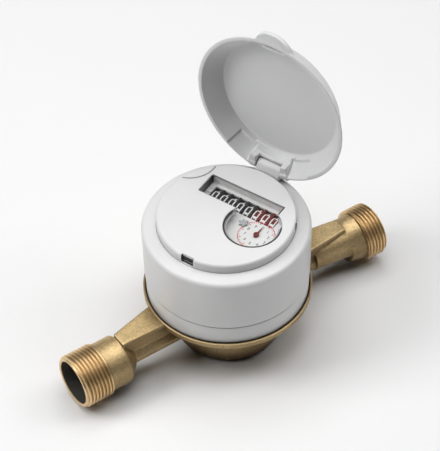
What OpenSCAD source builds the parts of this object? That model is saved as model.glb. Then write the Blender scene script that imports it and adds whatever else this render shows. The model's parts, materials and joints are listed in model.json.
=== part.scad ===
// Single-jet domestic water meter with a dry register, a hinged dial lid and threaded pipe ends.
// Origin at the centre of the flat foot, +X along the flow from inlet to outlet, +Z up, millimetres.

/* [Pipe body] */
// Length between the two pipe end faces
body_l = 172; // [160:1:200]
// Offset of the bowl's axis from the middle of the body, towards the outlet
bowl_shift = 1; // [0.5:0.1:1.5]
// Height of the pipe axis above the foot
axis_h = 15; // [14.5:0.1:16.5]
// Major diameter of the pipe end threads
thread_d = 26.441; // [26.3:0.001:26.5]
// Length of the inlet thread
inlet_thread_l = 14.5; // [12:0.5:16]
// Length of the outlet thread
outlet_thread_l = 11; // [9:0.5:13]
// Chamfer at the thread mouths
thread_chamfer = 1.2; // [0.6:0.1:1.6]
// Diameter of the bore behind both pipe ends
mouth_bore_d = 21.8; // [20:0.1:21.8]
// Depth of the bore behind the outlet
mouth_bore_l = 15; // [13:0.5:18]
// Diameter of the plain inlet shank
shank_d = 24.2; // [23:0.1:25]
// Length of the plain inlet shank
shank_l = 11; // [9:0.5:13]
// Diameter of the round outlet tube behind its thread
outlet_tube_d = 20.4; // [19.5:0.1:21]
// Height of the outlet tube's axis above the pipe axis
outlet_tube_rise = 2.6; // [2:0.1:2.8]

/* [Bowl and flange] */
// Radius of the flat foot
foot_r = 21.5; // [19:0.5:22.5]
// Rounding between the foot and the bowl wall
foot_round = 4.5; // [3.5:0.5:5.5]
// Radius of the bowl just below the flange
bowl_top_r = 29.5; // [28.5:0.5:31]
// Wall of the upstanding flange rim
rim_wall = 1.2; // [0.9:0.1:1.4]
// Height of the face that carries the head, above the foot
seat_z = 27.8; // [27.4:0.1:28.4]
// Depth of the recess inside the rim
rim_depth = 2; // [1.5:0.1:2.5]
// Height of the plain band around the flange
rim_band = 3; // [2.4:0.1:3.4]
// Radius of the measuring chamber
chamber_r = 23.5; // [22.5:0.1:23.8]
// Thickness of the chamber floor
floor_t = 4; // [3.5:0.1:4.4]
// Outer radius of the collar that carries the head
collar_r = 34; // [33.6:0.1:34.4]
// Height of the collar above the head's seat
collar_h = 12; // [11.6:0.1:12.4]
// Radius of the threaded bore inside the collar
collar_bore_r = 28; // [27.6:0.1:28.4]

/* [Necks] */
// Half width of the neck roof at its pipe end
roof_w_pipe = 4; // [3.6:0.1:5]
// Half width of the neck roof at the flange
roof_w_flange = 6.8; // [6:0.1:7.5]
// Height of the neck roof above the pipe axis at its pipe end
roof_rise = 13.6; // [12.8:0.1:14]
// Slope of the neck roof in degrees
roof_slope = 3; // [1:0.5:4]
// Thickness of the neck roof
roof_t = 2.4; // [2:0.1:3]
// Distance that the neck walls stand back from the roof edge
web_inset = 0.7; // [0.4:0.1:1]
// Sideways lean of the inlet neck from its pipe end to the flange
inlet_lean = 2.6; // [1:0.1:3]
// Half width of the lower ledge
ledge_w = 6; // [5:0.1:7]
// Height of the lower ledge's edge
ledge_t = 2.2; // [1.8:0.1:3]
// Depth of the ledge's lower face under the pipe axis
ledge_drop = 1; // [0.5:0.1:2]
// Rise of the ledge from its edge to the neck wall
ledge_rise = 4.3; // [3.5:0.1:4.6]
// Height of the sealing lug's edge on the outlet neck
lug_t = 4; // [3:0.1:5]
// Diameter of the sealing wire hole in the lug
seal_hole_d = 1.8; // [1.2:0.1:2.2]
// Width of the jet channel in the necks
jet_w = 4; // [3:0.1:4.4]
// Height of the jet channel in the necks
jet_h = 8; // [6:0.1:8.6]

/* [Head] */
// Height of the seam between the collar ring and the head, above the foot
seam_z = 40; // [39.9:0.1:41]
// Radius lost from the head at the seam to the collar ring's foot
ring_taper = 0.6; // [0.5:0.1:1]
// Room between the swivel skirt and the head's inside
shell_room = 0.9; // [0.7:0.1:1.2]
// Wall of the skirt that swivels on the collar
skirt_t = 1.75; // [1.5:0.05:2]
// Wall of the head shell
shell_wall = 2; // [1.6:0.1:2.2]
// Rounding of the head's upper edge
shell_round = 2.2; // [1.6:0.1:2.6]
// Height of the outer end of the sloping shoulder, above the foot
shoulder_z = 69.5; // [68.9:0.1:69.6]
// Rise of the shoulder towards the dial
shoulder_rise = 1; // [0.6:0.1:1.2]
// Radius of the raised dial cover
cover_r = 32.3; // [32:0.1:32.4]
// Width of the shoulder around the dial cover
shoulder_w = 7; // [6.8:0.1:7.4]
// Height of the dial cover's top, above the foot
cover_z = 75.2; // [74.6:0.1:75.4]
// Wall of the dial cover
cover_wall = 1.9; // [1.6:0.1:2.2]
// Rounding of the dial cover's edge
cover_round = 0.7; // [0.4:0.1:0.9]
// Direction of the lid hinge from the flow direction, in degrees
head_turn = 22; // [0:1:180]

/* [Window] */
// Left end of the window's slot, from the dial centre
win_left = -19.6; // [-20.5:0.1:-19]
// Right end of the window's slot, from the dial centre
win_right = 20.4; // [20:0.1:21]
// Lower edge of the window's slot, from the dial centre
win_low = 6; // [5:0.1:7]
// Upper edge of the window's slot, from the dial centre
win_high = 18.4; // [17.5:0.1:19]
// Radius of the window's round part
win_r = 13.6; // [13:0.1:14]
// Offset of the window's round part along the slot
win_cx = 14; // [13:0.1:15]
// Offset of the window's round part across the slot
win_cy = 0.5; // [0:0.1:1]
// Thickness of the clear lens
lens_t = 1.6; // [1.2:0.1:1.8]
// Width of the latch slot in the cover's edge
latch_slot_w = 6.4; // [6:0.1:9]
// Depth of the latch slot
latch_slot_d = 3; // [2:0.1:3.2]
// Depth of the thumb scallop in the cover's top
scallop_t = 0.5; // [0.3:0.1:0.7]
// Radius of the thumb scallop
scallop_r = 13.6; // [12:0.1:15]

/* [Lid] */
// How far the lid's mouth stands inside the head's upper edge
lid_inset = 0.2; // [0.1:0.1:0.7]
// Wall of the lid
lid_wall = 2; // [1.7:0.1:2.2]
// Depth of the lid's inside
lid_depth = 9.4; // [9:0.1:10]
// Taper of the lid's wall, radius lost from mouth to floor
lid_taper = 6.4; // [5.8:0.1:6.6]
// Height of the closed lid's mouth above the head's shoulder end
lid_lift = 0.5; // [0.4:0.05:0.8]
// Angle by which the lid stands open, in degrees
lid_open = 93.3; // [90:0.1:100]
// Reach of the thumb tab from the lid's mouth
tab_reach = 4.5; // [3.5:0.1:6]
// Radius of the thumb tab
tab_r = 8.2; // [7:0.1:10]
// Thickness of the thumb tab
tab_t = 2.3; // [1.8:0.1:3]
// Width of the latch nib inside the lid
nib_w = 10.5; // [8:0.5:12]
// Reach of the latch nib from the lid's wall
nib_reach = 1; // [0.6:0.1:1.2]

/* [Hinge] */
// How far the hinge axis stands inside the head's upper edge
hinge_inset = 1.4; // [1.2:0.1:1.7]
// Height of the hinge axis above the closed lid's mouth
hinge_rise = 3.9; // [3.8:0.1:4.1]
// Radius of the hinge barrels
barrel_r = 3; // [2.8:0.1:3.1]
// Half length of the head's hinge barrel
knuckle_half = 6.3; // [5.5:0.1:7]
// Half width of the lid's hinge block
block_half = 10.5; // [9.8:0.1:11.5]
// Radius of the hinge pin
pin_r = 0.75; // [0.6:0.05:0.9]

/* [Measuring unit] */
// Number of impeller vanes
vane_n = 8; // [5:1:10]
// Radius of the impeller
vane_r = 20; // [18:0.5:21]
// Thickness of an impeller vane
vane_t = 1.2; // [1:0.1:1.6]
// Height of the impeller vanes
vane_h = 15; // [12:0.5:16]
// Radius of the impeller hub
hub_r = 4; // [3:0.1:5]
// Radius of the impeller spindle
spindle_r = 1.4; // [1.2:0.1:1.6]
// Radius of the lower pivot pin
pivot_r = 1; // [0.8:0.1:1.1]
// Radius of the drive magnet
magnet_r = 5.2; // [4.5:0.1:5.4]
// Height of the drive magnet
magnet_h = 3.6; // [3:0.1:4]
// Thickness of the pressure plate
plate_t = 2.8; // [2.2:0.1:3]
// Thickness of the sealing ring's section
seal_t = 1.76; // [1.6:0.02:2]
// Wall of the strainer basket
strainer_wall = 1; // [0.8:0.1:1.2]
// Diameter of the strainer's holes
strainer_hole_d = 2; // [1.4:0.1:2.4]

/* [Register] */
// Number of number drums
drum_n = 8; // [8:1:8]
// Number of drums, from the left, for whole cubic metres
drum_black_n = 5; // [4:1:6]
// Distance between neighbouring drums
drum_pitch = 4.6; // [4.5:0.05:4.7]
// Offset of the first drum's middle from the dial centre
drum_first = -14.2; // [-15:0.1:-14]
// Offset of the drum shaft from the dial centre towards the hinge
drum_v = 12.4; // [12:0.1:12.8]
// Radius of a number drum
drum_r = 6.6; // [6.5:0.05:6.7]
// Width of a number drum's rim
drum_w = 3.6; // [3.4:0.05:3.7]
// Radius of the drum shaft
drum_shaft_r = 1; // [0.8:0.05:1.2]
// Radius of the arbors of the small wheels
arbor_r = 0.6; // [0.5:0.05:0.8]
// Thickness of a gear wheel
wheel_t = 1.4; // [1:0.1:1.6]
// Module of the gear wheels
gear_m = 0.5; // [0.5:0.1:0.5]
// Teeth of the follower's, transfer wheel's and drum drive's pinions
pinion_z = 8; // [8:1:8]
// Teeth of the transfer wheel and of the drum drive wheel
wheel_z = 24; // [24:1:24]
// Teeth of the pointer wheel
pointer_z = 30; // [30:1:30]
// Module of the drum gears
drum_m = 0.6; // [0.6:0.1:0.6]
// Teeth of a drum's gear ring
drum_z = 20; // [20:2:20]
// Length of the pointer from its axis
pointer_l = 4.6; // [3.5:0.1:5]
// Radius of the leak indicator star
star_r = 2.5; // [2:0.1:2.8]
// Points of the leak indicator star
star_n = 6; // [5:1:8]

/* [Fits] */
// Radial clearance of pins and shafts that turn
run_fit = 0.05; // [0.02:0.01:0.08]
// Radial clearance of the head's swivel on the collar
swivel_fit = 0.15; // [0.1:0.01:0.25]
// Gap between pieces that lie beside each other
part_gap = 0.3; // [0.2:0.05:0.4]
// Gap between pieces that seat in each other
seat_gap = 0.1; // [0.05:0.01:0.15]

/* [Hidden] */
$fn = 72;
eps = 0.01;
past = 1;
arc_steps = 5;
foot_arc = -75;

brass_tone = [0.66, 0.55, 0.35];
white_tone = [0.9, 0.9, 0.89];
lid_tone = [0.78, 0.78, 0.78];
steel_tone = [0.7, 0.71, 0.72];
grey_tone = [0.55, 0.56, 0.56];
black_tone = [0.08, 0.08, 0.08];
red_tone = [0.72, 0.1, 0.08];
clear_tone = [0.85, 0.9, 0.92, 0.35];

// Heights and radii of the brass body
inlet_l = body_l / 2 + bowl_shift;
outlet_l = body_l / 2 - bowl_shift;
bore_end = outlet_l - mouth_bore_l;
thread_r = thread_d / 2;
mouth_r = mouth_bore_d / 2;
rim_top = seat_z + rim_depth;
skirt_in_r = collar_r + swivel_fit;
skirt_out_r = skirt_in_r + skirt_t;
shell_in_r = skirt_out_r + shell_room;
shell_low_r = shell_in_r + shell_wall;
ring_foot_r = shell_low_r - ring_taper;
rim_in_r = ring_foot_r + part_gap + seat_gap;
rim_r = rim_in_r + rim_wall;
rim_edge = rim_wall / 3;
band_low = rim_top - rim_band;
bowl_r = foot_r + foot_round;
bowl_top_z = axis_h + 3;
under_r = (bowl_top_r + rim_r) / 2;
under_z = band_low - 2;
collar_top = seat_z + collar_h;
ledge_z = seat_z + 2.4;
groove_d = 0.8;
groove_h = 2.2;
groove_z = collar_top - 3.8;
seal_r = (chamber_r + collar_bore_r) / 2 + 0.25;
seal_groove_w = seal_t + 0.6;
seal_groove_d = seal_t + 0.04;
pivot_sink = 2;

// Necks
inlet_shank_x = inlet_l - inlet_thread_l - shank_l;
shank_cone_l = 5.5;
neck_end_r = 6.5;
outlet_tube_x = outlet_l - outlet_thread_l;
outlet_tube_l = 27;
outlet_tube_end_r = 7.6;
outlet_root_x = bore_end - 3.5;
outlet_root_r = 10.2;
outlet_root_end_r = 11.9;
outlet_step = 1.5;
outlet_step_r = mouth_r - 0.95;
outlet_neck_x = outlet_tube_x - 8;
roof_z = axis_h + roof_rise;
neck_root = bowl_top_r - 4;
ledge_low = axis_h - ledge_drop;
web_low = ledge_low + ledge_t / 2;
ledge_in = roof_w_pipe - web_inset - 0.5;
jet_z = roof_z - roof_t - jet_h;
jet_bore_r = 4.2;
jet_bore_l = 8;
throat_r = 7;
lug_inset = 13;
lug_x = outlet_neck_x - lug_inset;
lug_y = ledge_w - 1.4;
lug_end = outlet_neck_x - 3;

// Head
shell_top_r = cover_r + shoulder_w;
shell_in_top_r = shell_top_r - shell_wall;
shell_edge = 1;
shell_in_top = shoulder_z - shell_wall - shell_edge;
lid_r = shell_top_r - lid_inset;
hinge_r = shell_top_r - hinge_inset;
shoulder_r = shell_top_r - shell_round;
shoulder_in_r = cover_r + part_gap;
shoulder_in_z = shoulder_z + shoulder_rise;
ring_t = shell_wall;
cover_flange_r = cover_r + 2.8;
cover_flange_t = 1.6;
cover_flange_z = shoulder_z - ring_t - cover_flange_t - seat_gap;
cover_t = 2;
cover_under = cover_z - cover_t;
lens_top = cover_under - seat_gap;
lens_r = cover_r - cover_wall - seat_gap;
lens_z = lens_top - lens_t;
base_z = collar_top + 1.2;
base_t = 2;
base_top = base_z + base_t;
base_r = min(shell_in_at(base_z), shell_in_at(base_top)) - seat_gap;
ring_in_r = skirt_out_r + part_gap;
ring_step_h = 3;
skirt_low = seat_z + ring_step_h + 2 * part_gap;
latch_slot_h = 4;
latch_wall_d = 1.5;
latch_top_t = 1.3;
notch_w = 1;
notch_h = 3;
notch_turn = 23;
scallop_in = 5.3;
scallop_reach = cover_r - scallop_in + scallop_r;
scallop_turn = 148;

// Dial face, drums and gear layers
face_t = 1;
face_top = lens_z - 1.5;
face_low = face_top - face_t;
face_r = lens_r - 0.6;
drum_z_axis = face_top - 0.4 - drum_r;
drum_last = drum_first + (drum_n - 1) * drum_pitch;
ring_gear_w = 0.7;
ring_gear_r = drum_m * drum_z / 2;
carry_r = drum_m * pinion_z / 2;
carry_dist = ring_gear_r + carry_r;
carry_turn = -40;
carry_v = drum_v + carry_dist * cos(carry_turn);
carry_z = drum_z_axis + carry_dist * sin(carry_turn);
carry_shaft_r = 0.55;
crown_z = wheel_z;
crown_r = 5.6;
crown_h = 0.9;
crown_ring = 1.2;
crown_tooth_w = 0.36;
crown_pinion_r = crown_r * pinion_z / crown_z;
crown_face = drum_last + drum_w / 2;
magnet_gap = 0.5;
follower_z = base_top + magnet_gap;
follower_r = magnet_r + 0.3;
layer1_z = follower_z + magnet_h + 0.7;
layer2_z = layer1_z + wheel_t + 0.8;
frame_z = layer2_z + wheel_t + 0.8;
frame_t = 1.2;
frame_top = frame_z + frame_t;
frame_r = face_r - part_gap;
cheek_t = 1.2;
cheek_left = drum_first - drum_w / 2 - cheek_t - 0.5;
cheek_right = crown_face + crown_h / 2 + 2 * crown_pinion_r + 1;
cheek_v0 = drum_v - 3.4;
cheek_v1 = carry_v + 2.2;
pillar_r = 2.4;
pillar_edge = face_r - pillar_r - 0.4;
pillars = [[-21, 0], [-2, -21], [-6, 24.5], pillar_edge * [cos(45), -sin(45)]];
cheek_rise = 2.2;
cheek_pad = 0.4;
bearing_d = 1.2;

// Arbor places in the dial's own frame: transfer wheel, pointer wheel and drum drive
drive_at = [crown_face + crown_h / 2 + crown_pinion_r, drum_v];
pointer_dist = gear_m * (pointer_z + wheel_z) / 2;
pointer_lean = 64.1;
pointer_at = drive_at - pointer_dist * [cos(pointer_lean), sin(pointer_lean)];
transfer_dist = gear_m * (pinion_z + wheel_z) / 2;
second_dist = gear_m * (pinion_z + pointer_z) / 2;
pointer_off = norm(pointer_at);
pointer_dir = atan2(pointer_at.y, pointer_at.x);
transfer_lean = acos((transfer_dist^2 + pointer_off^2 - second_dist^2) / (2 * transfer_dist * pointer_off));
transfer_at = transfer_dist * [cos(pointer_dir + transfer_lean), sin(pointer_dir + transfer_lean)];
mesh1_dir = atan2(transfer_at.y, transfer_at.x);
mesh2_dir = atan2(pointer_at.y - transfer_at.y, pointer_at.x - transfer_at.x);
mesh3_dir = atan2(drive_at.y - pointer_at.y, drive_at.x - pointer_at.x);
transfer_turn = mesh1_dir + 180 + 180 / wheel_z;
pointer_turn = mesh2_dir + 180 + 180 / pointer_z;
drive_turn = mesh3_dir + 180 + 180 / wheel_z - (pointer_turn - mesh3_dir) * pointer_z / wheel_z;

// Lid and hinge
mouth_z = shoulder_z + lid_lift;
lid_in_r = lid_r - lid_wall;
lid_floor_z = mouth_z + lid_depth;
lid_top = lid_floor_z + lid_wall;
lid_floor_r = lid_in_r - lid_taper;
lid_slope = lid_taper / lid_depth;
lid_lean = atan(lid_slope);
lid_round = 6;
lid_fillet = 4;
lid_edge = 0.3;
hinge_z = mouth_z + hinge_rise;
knuckle_gap = 0.3;
post_front = cover_r + 0.4;
block_in_r = cover_r + 0.9;
block_step_z = cover_z + 0.4;
block_top_r = block_in_r - 2;
block_top_z = block_step_z + 1.8;
ear_reach = 2.4;
swing_r = hinge_r - post_front + part_gap + 1.6;
tab_z = mouth_z + 0.2;
tab_off = -1;
nib_z = mouth_z + 2;
nib_t = 2.2;
relief_t = 1.1;
relief_z = block_top_z - 0.2;
relief_from = 17;
relief_to = 36;
pin_half = block_half - 0.5;

// Chamber unit
plate_z = ledge_z;
plate_top = plate_z + plate_t;
dome_in_r = magnet_r + 0.8;
dome_wall = 1.4;
dome_top = collar_top + 0.4;
dome_in_top = dome_top - dome_wall;
journal_r = 0.8;
journal_l = 0.7;
hub_low = floor_t + 1.2;
vane_low = hub_low + 4.5;
hub_top = vane_low + vane_h + 1.5;
magnet_z = dome_in_top - magnet_h - 0.8;
pivot_top = hub_low + 2.8;
lock_t = 10;
lock_in_r = collar_bore_r - lock_t;
lock_z = plate_top + seat_gap / 2;
lock_h = collar_top - lock_z - 1.2;
lock_notch_w = 5;
lock_notch_d = 2;
strainer_x = bore_end + 0.2;
strainer_l = 8;
strainer_r = mouth_r - seat_gap;
strainer_pitch = strainer_hole_d + 0.9;

// Points on an arc, from angle a0 to a1
function arc(c, r, a0, a1, n = arc_steps) =
  [for (i = [0 : n]) c + r * [cos(a0 + (a1 - a0) * i / n), sin(a0 + (a1 - a0) * i / n)]];

// Inner radius of the head shell's wall at height z
function shell_in_at(z) =
  shell_in_r + (shell_in_top_r - shell_in_r) * (z - seam_z) / (shell_in_top - seam_z);

// Rounding between the lid's leaning wall, of radius r at the mouth, and its level at height z
function lid_bend(r, z, bend) =
  arc([r - lid_slope * (z - bend - mouth_z) - bend / cos(lid_lean), z - bend], bend, lid_lean, 90);

// Outline of a gear with stub teeth; a tooth points along +X
function gear_points(z, m, tip = 0.75, root = 1.05, slim = 0.86) =
  let (r = m * z / 2, half = 90 / z * slim)
  [for (i = [0 : z - 1], k = [
      [r - m * root, -half * 1.35], [r, -half], [r + m * tip, -half * 0.42],
      [r + m * tip, half * 0.42], [r, half], [r - m * root, half * 1.35]])
    let (a = 360 / z * i + k[1]) k[0] * [cos(a), sin(a)]];

module head_place() {
  rotate([0, 0, head_turn - 90]) children();
}

module on_pipe(x, r1, r2, l) {
  translate([x, 0, axis_h]) rotate([0, 90, 0]) cylinder(r1 = r1, r2 = r2, h = l);
}

module along_dial(u, v, z, r, l) {
  translate([u, v, z]) rotate([0, 90, 0]) cylinder(r = r, h = l);
}

module gear(z, m, t) {
  linear_extrude(t) polygon(gear_points(z, m));
}

// Brass body: bowl, flange and upstanding rim
module bowl() {
  profile = concat(
    [[0, 0], [foot_r, 0]],
    arc([foot_r, foot_round], foot_round, foot_arc, 0),
    [[bowl_top_r, bowl_top_z], [under_r, under_z], [rim_r - rim_edge, band_low],
     [rim_r, band_low + rim_edge], [rim_r, rim_top - rim_edge], [rim_r - rim_edge, rim_top], [0, rim_top]]);
  rotate_extrude() polygon(profile);
}

// Tapered plan of a neck part between two stations along the pipe
module neck_plan(x0, w0, x1, w1, lean) {
  polygon([[x0, -w0], [x1, lean - w1], [x1, lean + w1], [x0, w0]]);
}

// Neck with an overhanging sloped roof, set-back walls and a lower ledge with sloping flanks
module neck(x_pipe, low_t, low_end, lean) {
  translate([x_pipe, 0, roof_z]) rotate([0, roof_slope, 0]) translate([-x_pipe, 0, -roof_t])
    linear_extrude(roof_t) neck_plan(x_pipe, roof_w_pipe, neck_root, roof_w_flange + 2, lean);
  translate([0, 0, web_low]) linear_extrude(roof_z - roof_t / 2 - web_low)
    neck_plan(x_pipe, roof_w_pipe - web_inset, neck_root, roof_w_flange - web_inset, lean);
  translate([neck_root, 0, ledge_low]) rotate([90, 0, 90]) linear_extrude(low_end - neck_root) polygon([
    [-ledge_w, 0], [ledge_w, 0], [ledge_w, low_t], [ledge_in, low_t + ledge_rise],
    [-ledge_in, low_t + ledge_rise], [-ledge_w, low_t]]);
}

module pipe_ends() {
  // Inlet: thread, plain shank and steep cone
  on_pipe(-inlet_l, thread_r - thread_chamfer, thread_r, thread_chamfer);
  on_pipe(-inlet_l + thread_chamfer, thread_r, thread_r, inlet_thread_l - thread_chamfer);
  on_pipe(-inlet_l + inlet_thread_l - eps, shank_d / 2, shank_d / 2, shank_l + eps);
  on_pipe(-inlet_shank_x - eps, shank_d / 2, neck_end_r, shank_cone_l);
  // Outlet: raised tapered tube, root behind the bore and thread
  translate([0, 0, outlet_tube_rise])
    on_pipe(outlet_tube_x - outlet_tube_l, outlet_tube_end_r, outlet_tube_d / 2, outlet_tube_l + past);
  on_pipe(outlet_root_x, outlet_root_r, outlet_root_end_r, outlet_tube_x + past / 2 - outlet_root_x);
  on_pipe(outlet_tube_x, thread_r, thread_r, outlet_thread_l - thread_chamfer);
  on_pipe(outlet_l - thread_chamfer, thread_r, thread_r - thread_chamfer, thread_chamfer);
}

// Collar with the swivel groove on its outside
module collar() {
  rotate_extrude() polygon([
    [chamber_r - past, seat_z - past], [collar_r, seat_z - past], [collar_r, groove_z],
    [collar_r - groove_d, groove_z], [collar_r - groove_d, groove_z + groove_h],
    [collar_r, groove_z + groove_h], [collar_r, collar_top], [chamber_r - past, collar_top]]);
}

// Everything that is hollow in the brass body
module water_way() {
  translate([0, 0, floor_t]) cylinder(r = chamber_r, h = collar_top);
  translate([0, 0, ledge_z]) cylinder(r = collar_bore_r, h = collar_h);
  translate([0, 0, floor_t - pivot_sink]) cylinder(r = pivot_r, h = floor_t);
  translate([0, 0, ledge_z - seal_groove_d]) difference() {
    cylinder(r = seal_r + seal_groove_w / 2, h = seal_groove_d + eps);
    translate([0, 0, -past]) cylinder(r = seal_r - seal_groove_w / 2, h = seal_groove_d + 2 * past);
  }
  on_pipe(-inlet_l - past, mouth_r, mouth_r, inlet_l + past - bore_end);
  on_pipe(outlet_tube_x + outlet_step, mouth_r, mouth_r, outlet_thread_l);
  on_pipe(bore_end, outlet_step_r, outlet_step_r, outlet_tube_x + outlet_step + eps - bore_end);
  for (side = [-1, 1]) {
    inner = side < 0 ? inlet_shank_x : outlet_tube_x - 6;
    scale_x = side;
    lean = side < 0 ? inlet_lean : 0;
    on_pipe(side < 0 ? -bore_end - eps : inner, throat_r, throat_r, bore_end - inner + eps);
    translate([0, 0, jet_z + jet_h / 2 - axis_h])
      on_pipe(scale_x * (inner + 2) - jet_bore_l / 2, jet_bore_r, jet_bore_r, jet_bore_l);
    translate([0, 0, jet_z]) linear_extrude(jet_h)
      neck_plan(scale_x * inner, jet_w / 2, scale_x * (chamber_r - 2), jet_w / 2 + 1, lean);
  }
}

module meter_body() {
  color(brass_tone) difference() {
    union() {
      difference() {
        union() {
          bowl();
          mirror([1, 0, 0]) neck(inlet_shank_x, ledge_t, inlet_shank_x - shank_cone_l / 2, inlet_lean);
          neck(outlet_neck_x, lug_t, lug_end, 0);
          pipe_ends();
        }
        translate([0, 0, seat_z]) cylinder(r = rim_in_r, h = collar_h);
      }
      collar();
    }
    water_way();
    translate([lug_x, -lug_y, ledge_low - past]) cylinder(d = seal_hole_d, h = lug_t + ledge_rise + 2 * past);
  }
}

// Perforated cup in the inlet bore
module inlet_strainer() {
  color(grey_tone) translate([-strainer_x, 0, axis_h]) rotate([0, -90, 0]) difference() {
    cylinder(r = strainer_r, h = strainer_l);
    translate([0, 0, strainer_wall]) cylinder(r = strainer_r - strainer_wall, h = strainer_l);
    for (ring = [0 : 2], i = [0 : max(1, 6 * ring) - 1])
      rotate([0, 0, i * 60 / max(1, ring)]) translate([ring * strainer_pitch, 0, -past])
        cylinder(d = strainer_hole_d, h = strainer_wall + 2 * past);
  }
}

module lower_pivot() {
  color(steel_tone) translate([0, 0, floor_t - pivot_sink]) {
    cylinder(r = pivot_r, h = pivot_top - pivot_r - floor_t + pivot_sink);
    translate([0, 0, pivot_top - pivot_r - floor_t + pivot_sink]) sphere(r = pivot_r);
  }
}

module pressure_plate() {
  color(grey_tone) rotate_extrude() polygon([
    [spindle_r + 0.6, plate_z], [collar_bore_r - seat_gap, plate_z], [collar_bore_r - seat_gap, plate_top],
    [dome_in_r + dome_wall, plate_top], [dome_in_r + dome_wall, dome_top], [0, dome_top],
    [0, dome_in_top + journal_l + part_gap], [journal_r + run_fit, dome_in_top + journal_l + part_gap],
    [journal_r + run_fit, dome_in_top], [dome_in_r, dome_in_top], [dome_in_r, plate_z + plate_t / 2],
    [spindle_r + 0.6, plate_z + plate_t / 2]]);
}

module seal_ring() {
  color(black_tone) rotate_extrude() translate([seal_r, ledge_z - seal_groove_d + seal_t / 2 + eps])
    circle(d = seal_t, $fn = 32);
}

module lock_ring() {
  color(brass_tone) difference() {
    translate([0, 0, lock_z]) cylinder(r = collar_bore_r - seat_gap, h = lock_h);
    translate([0, 0, lock_z - past]) cylinder(r = lock_in_r, h = lock_h + 2 * past);
    for (a = [0, 90])
      rotate([0, 0, a]) translate([-collar_r, -lock_notch_w / 2, lock_z + lock_h - lock_notch_d])
        cube([2 * collar_r, lock_notch_w, lock_notch_d + past]);
  }
}

// White ring between the brass rim and the head, with a seam above it
module collar_ring() {
  top = seam_z - seat_gap;
  color(white_tone) rotate_extrude() polygon([
    [collar_r + seat_gap, seat_z], [ring_foot_r - 0.4, seat_z], [ring_foot_r, seat_z + 0.4],
    [shell_low_r - 0.3, top], [ring_in_r, top], [ring_in_r, seat_z + ring_step_h],
    [collar_r + seat_gap, seat_z + ring_step_h]]);
}

module impeller() {
  color(grey_tone) difference() {
    union() {
      translate([0, 0, hub_low]) cylinder(r = hub_r, h = hub_top - hub_low);
      for (i = [0 : vane_n - 1])
        rotate([0, 0, i * 360 / vane_n]) translate([hub_r - past, -vane_t / 2, vane_low])
          cube([vane_r - hub_r + past, vane_t, vane_h]);
    }
    translate([0, 0, hub_low - past]) cylinder(r = pivot_r + run_fit, h = pivot_top - hub_low + past + part_gap);
    translate([0, 0, vane_low]) cylinder(r = spindle_r, h = hub_top);
  }
}

module impeller_spindle() {
  color(steel_tone) {
    translate([0, 0, vane_low]) cylinder(r = spindle_r, h = dome_in_top - part_gap - vane_low);
    translate([0, 0, dome_in_top - part_gap - eps]) cylinder(r = journal_r, h = journal_l + part_gap);
  }
}

module drive_magnet() {
  color(black_tone) translate([0, 0, magnet_z]) difference() {
    cylinder(r = magnet_r, h = magnet_h);
    translate([0, 0, -past]) cylinder(r = spindle_r, h = magnet_h + 2 * past);
  }
}

// Head shell with a rounded upper edge, a sloping shoulder and the hinge post
module head_shell() {
  profile = concat(
    [[shell_in_r, seam_z + part_gap - seat_gap], [shell_low_r - 0.3, seam_z + part_gap - seat_gap],
     [shell_low_r, seam_z + 2 * part_gap]],
    arc([shoulder_r, shoulder_z - shell_round], shell_round, 0, 90),
    [[shoulder_in_r, shoulder_in_z], [shoulder_in_r, shoulder_z - ring_t],
     [shell_in_top_r - shell_edge, shoulder_z - ring_t], [shell_in_top_r, shell_in_top]]);
  color(white_tone) {
    rotate_extrude() polygon(profile);
    head_place() difference() {
      union() {
        along_dial(-knuckle_half, hinge_r, hinge_z, barrel_r, 2 * knuckle_half);
        translate([-knuckle_half, 0, 0]) rotate([90, 0, 90]) linear_extrude(2 * knuckle_half) polygon([
          [post_front, shoulder_z], [post_front, shoulder_in_z + part_gap], [hinge_r - barrel_r + 0.5, hinge_z + 1],
          [hinge_r, hinge_z], [hinge_r + barrel_r - part_gap, hinge_z], [shoulder_r + 0.5, shoulder_z - 1],
          [shoulder_in_r + 1, shoulder_z - 1]]);
      }
      along_dial(-knuckle_half - past, hinge_r, hinge_z, pin_r + run_fit, 2 * knuckle_half + 2 * past);
    }
  }
}

// Outline of the reading window: a slot for the drums joined to a round part for the dial
module window_outline() {
  translate([win_left, win_low]) square([win_right - win_left, win_high - win_low]);
  translate([win_cx, win_cy]) circle(r = win_r);
}

module dial_cover() {
  in_r = cover_r - cover_wall;
  color(white_tone) head_place() difference() {
    rotate_extrude() polygon([
      [0, cover_under], [in_r, cover_under], [in_r, cover_flange_z], [cover_flange_r, cover_flange_z],
      [cover_flange_r, cover_flange_z + cover_flange_t], [cover_r, cover_flange_z + cover_flange_t],
      [cover_r, cover_z - cover_round], [cover_r - cover_round, cover_z], [0, cover_z]]);
    translate([0, 0, cover_under - past]) linear_extrude(cover_t + 2 * past) window_outline();
    translate([-latch_slot_w / 2, -cover_r - past, cover_z - latch_slot_h])
      cube([latch_slot_w, latch_wall_d + past, latch_slot_h + past]);
    translate([-latch_slot_w / 2, -cover_r - past, cover_z - latch_top_t])
      cube([latch_slot_w, latch_slot_d + past, latch_top_t + past]);
    rotate([0, 0, notch_turn]) translate([cover_r - cover_wall / 2, -notch_w / 2, cover_z - notch_h - 2 * cover_round])
      cube([cover_wall, notch_w, notch_h]);
    rotate([0, 0, scallop_turn]) translate([scallop_reach, 0, cover_z - scallop_t])
      cylinder(r = scallop_r, h = scallop_t + past);
  }
}

module window_lens() {
  color(clear_tone) translate([0, 0, lens_z]) cylinder(r = lens_r, h = lens_t);
}

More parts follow.
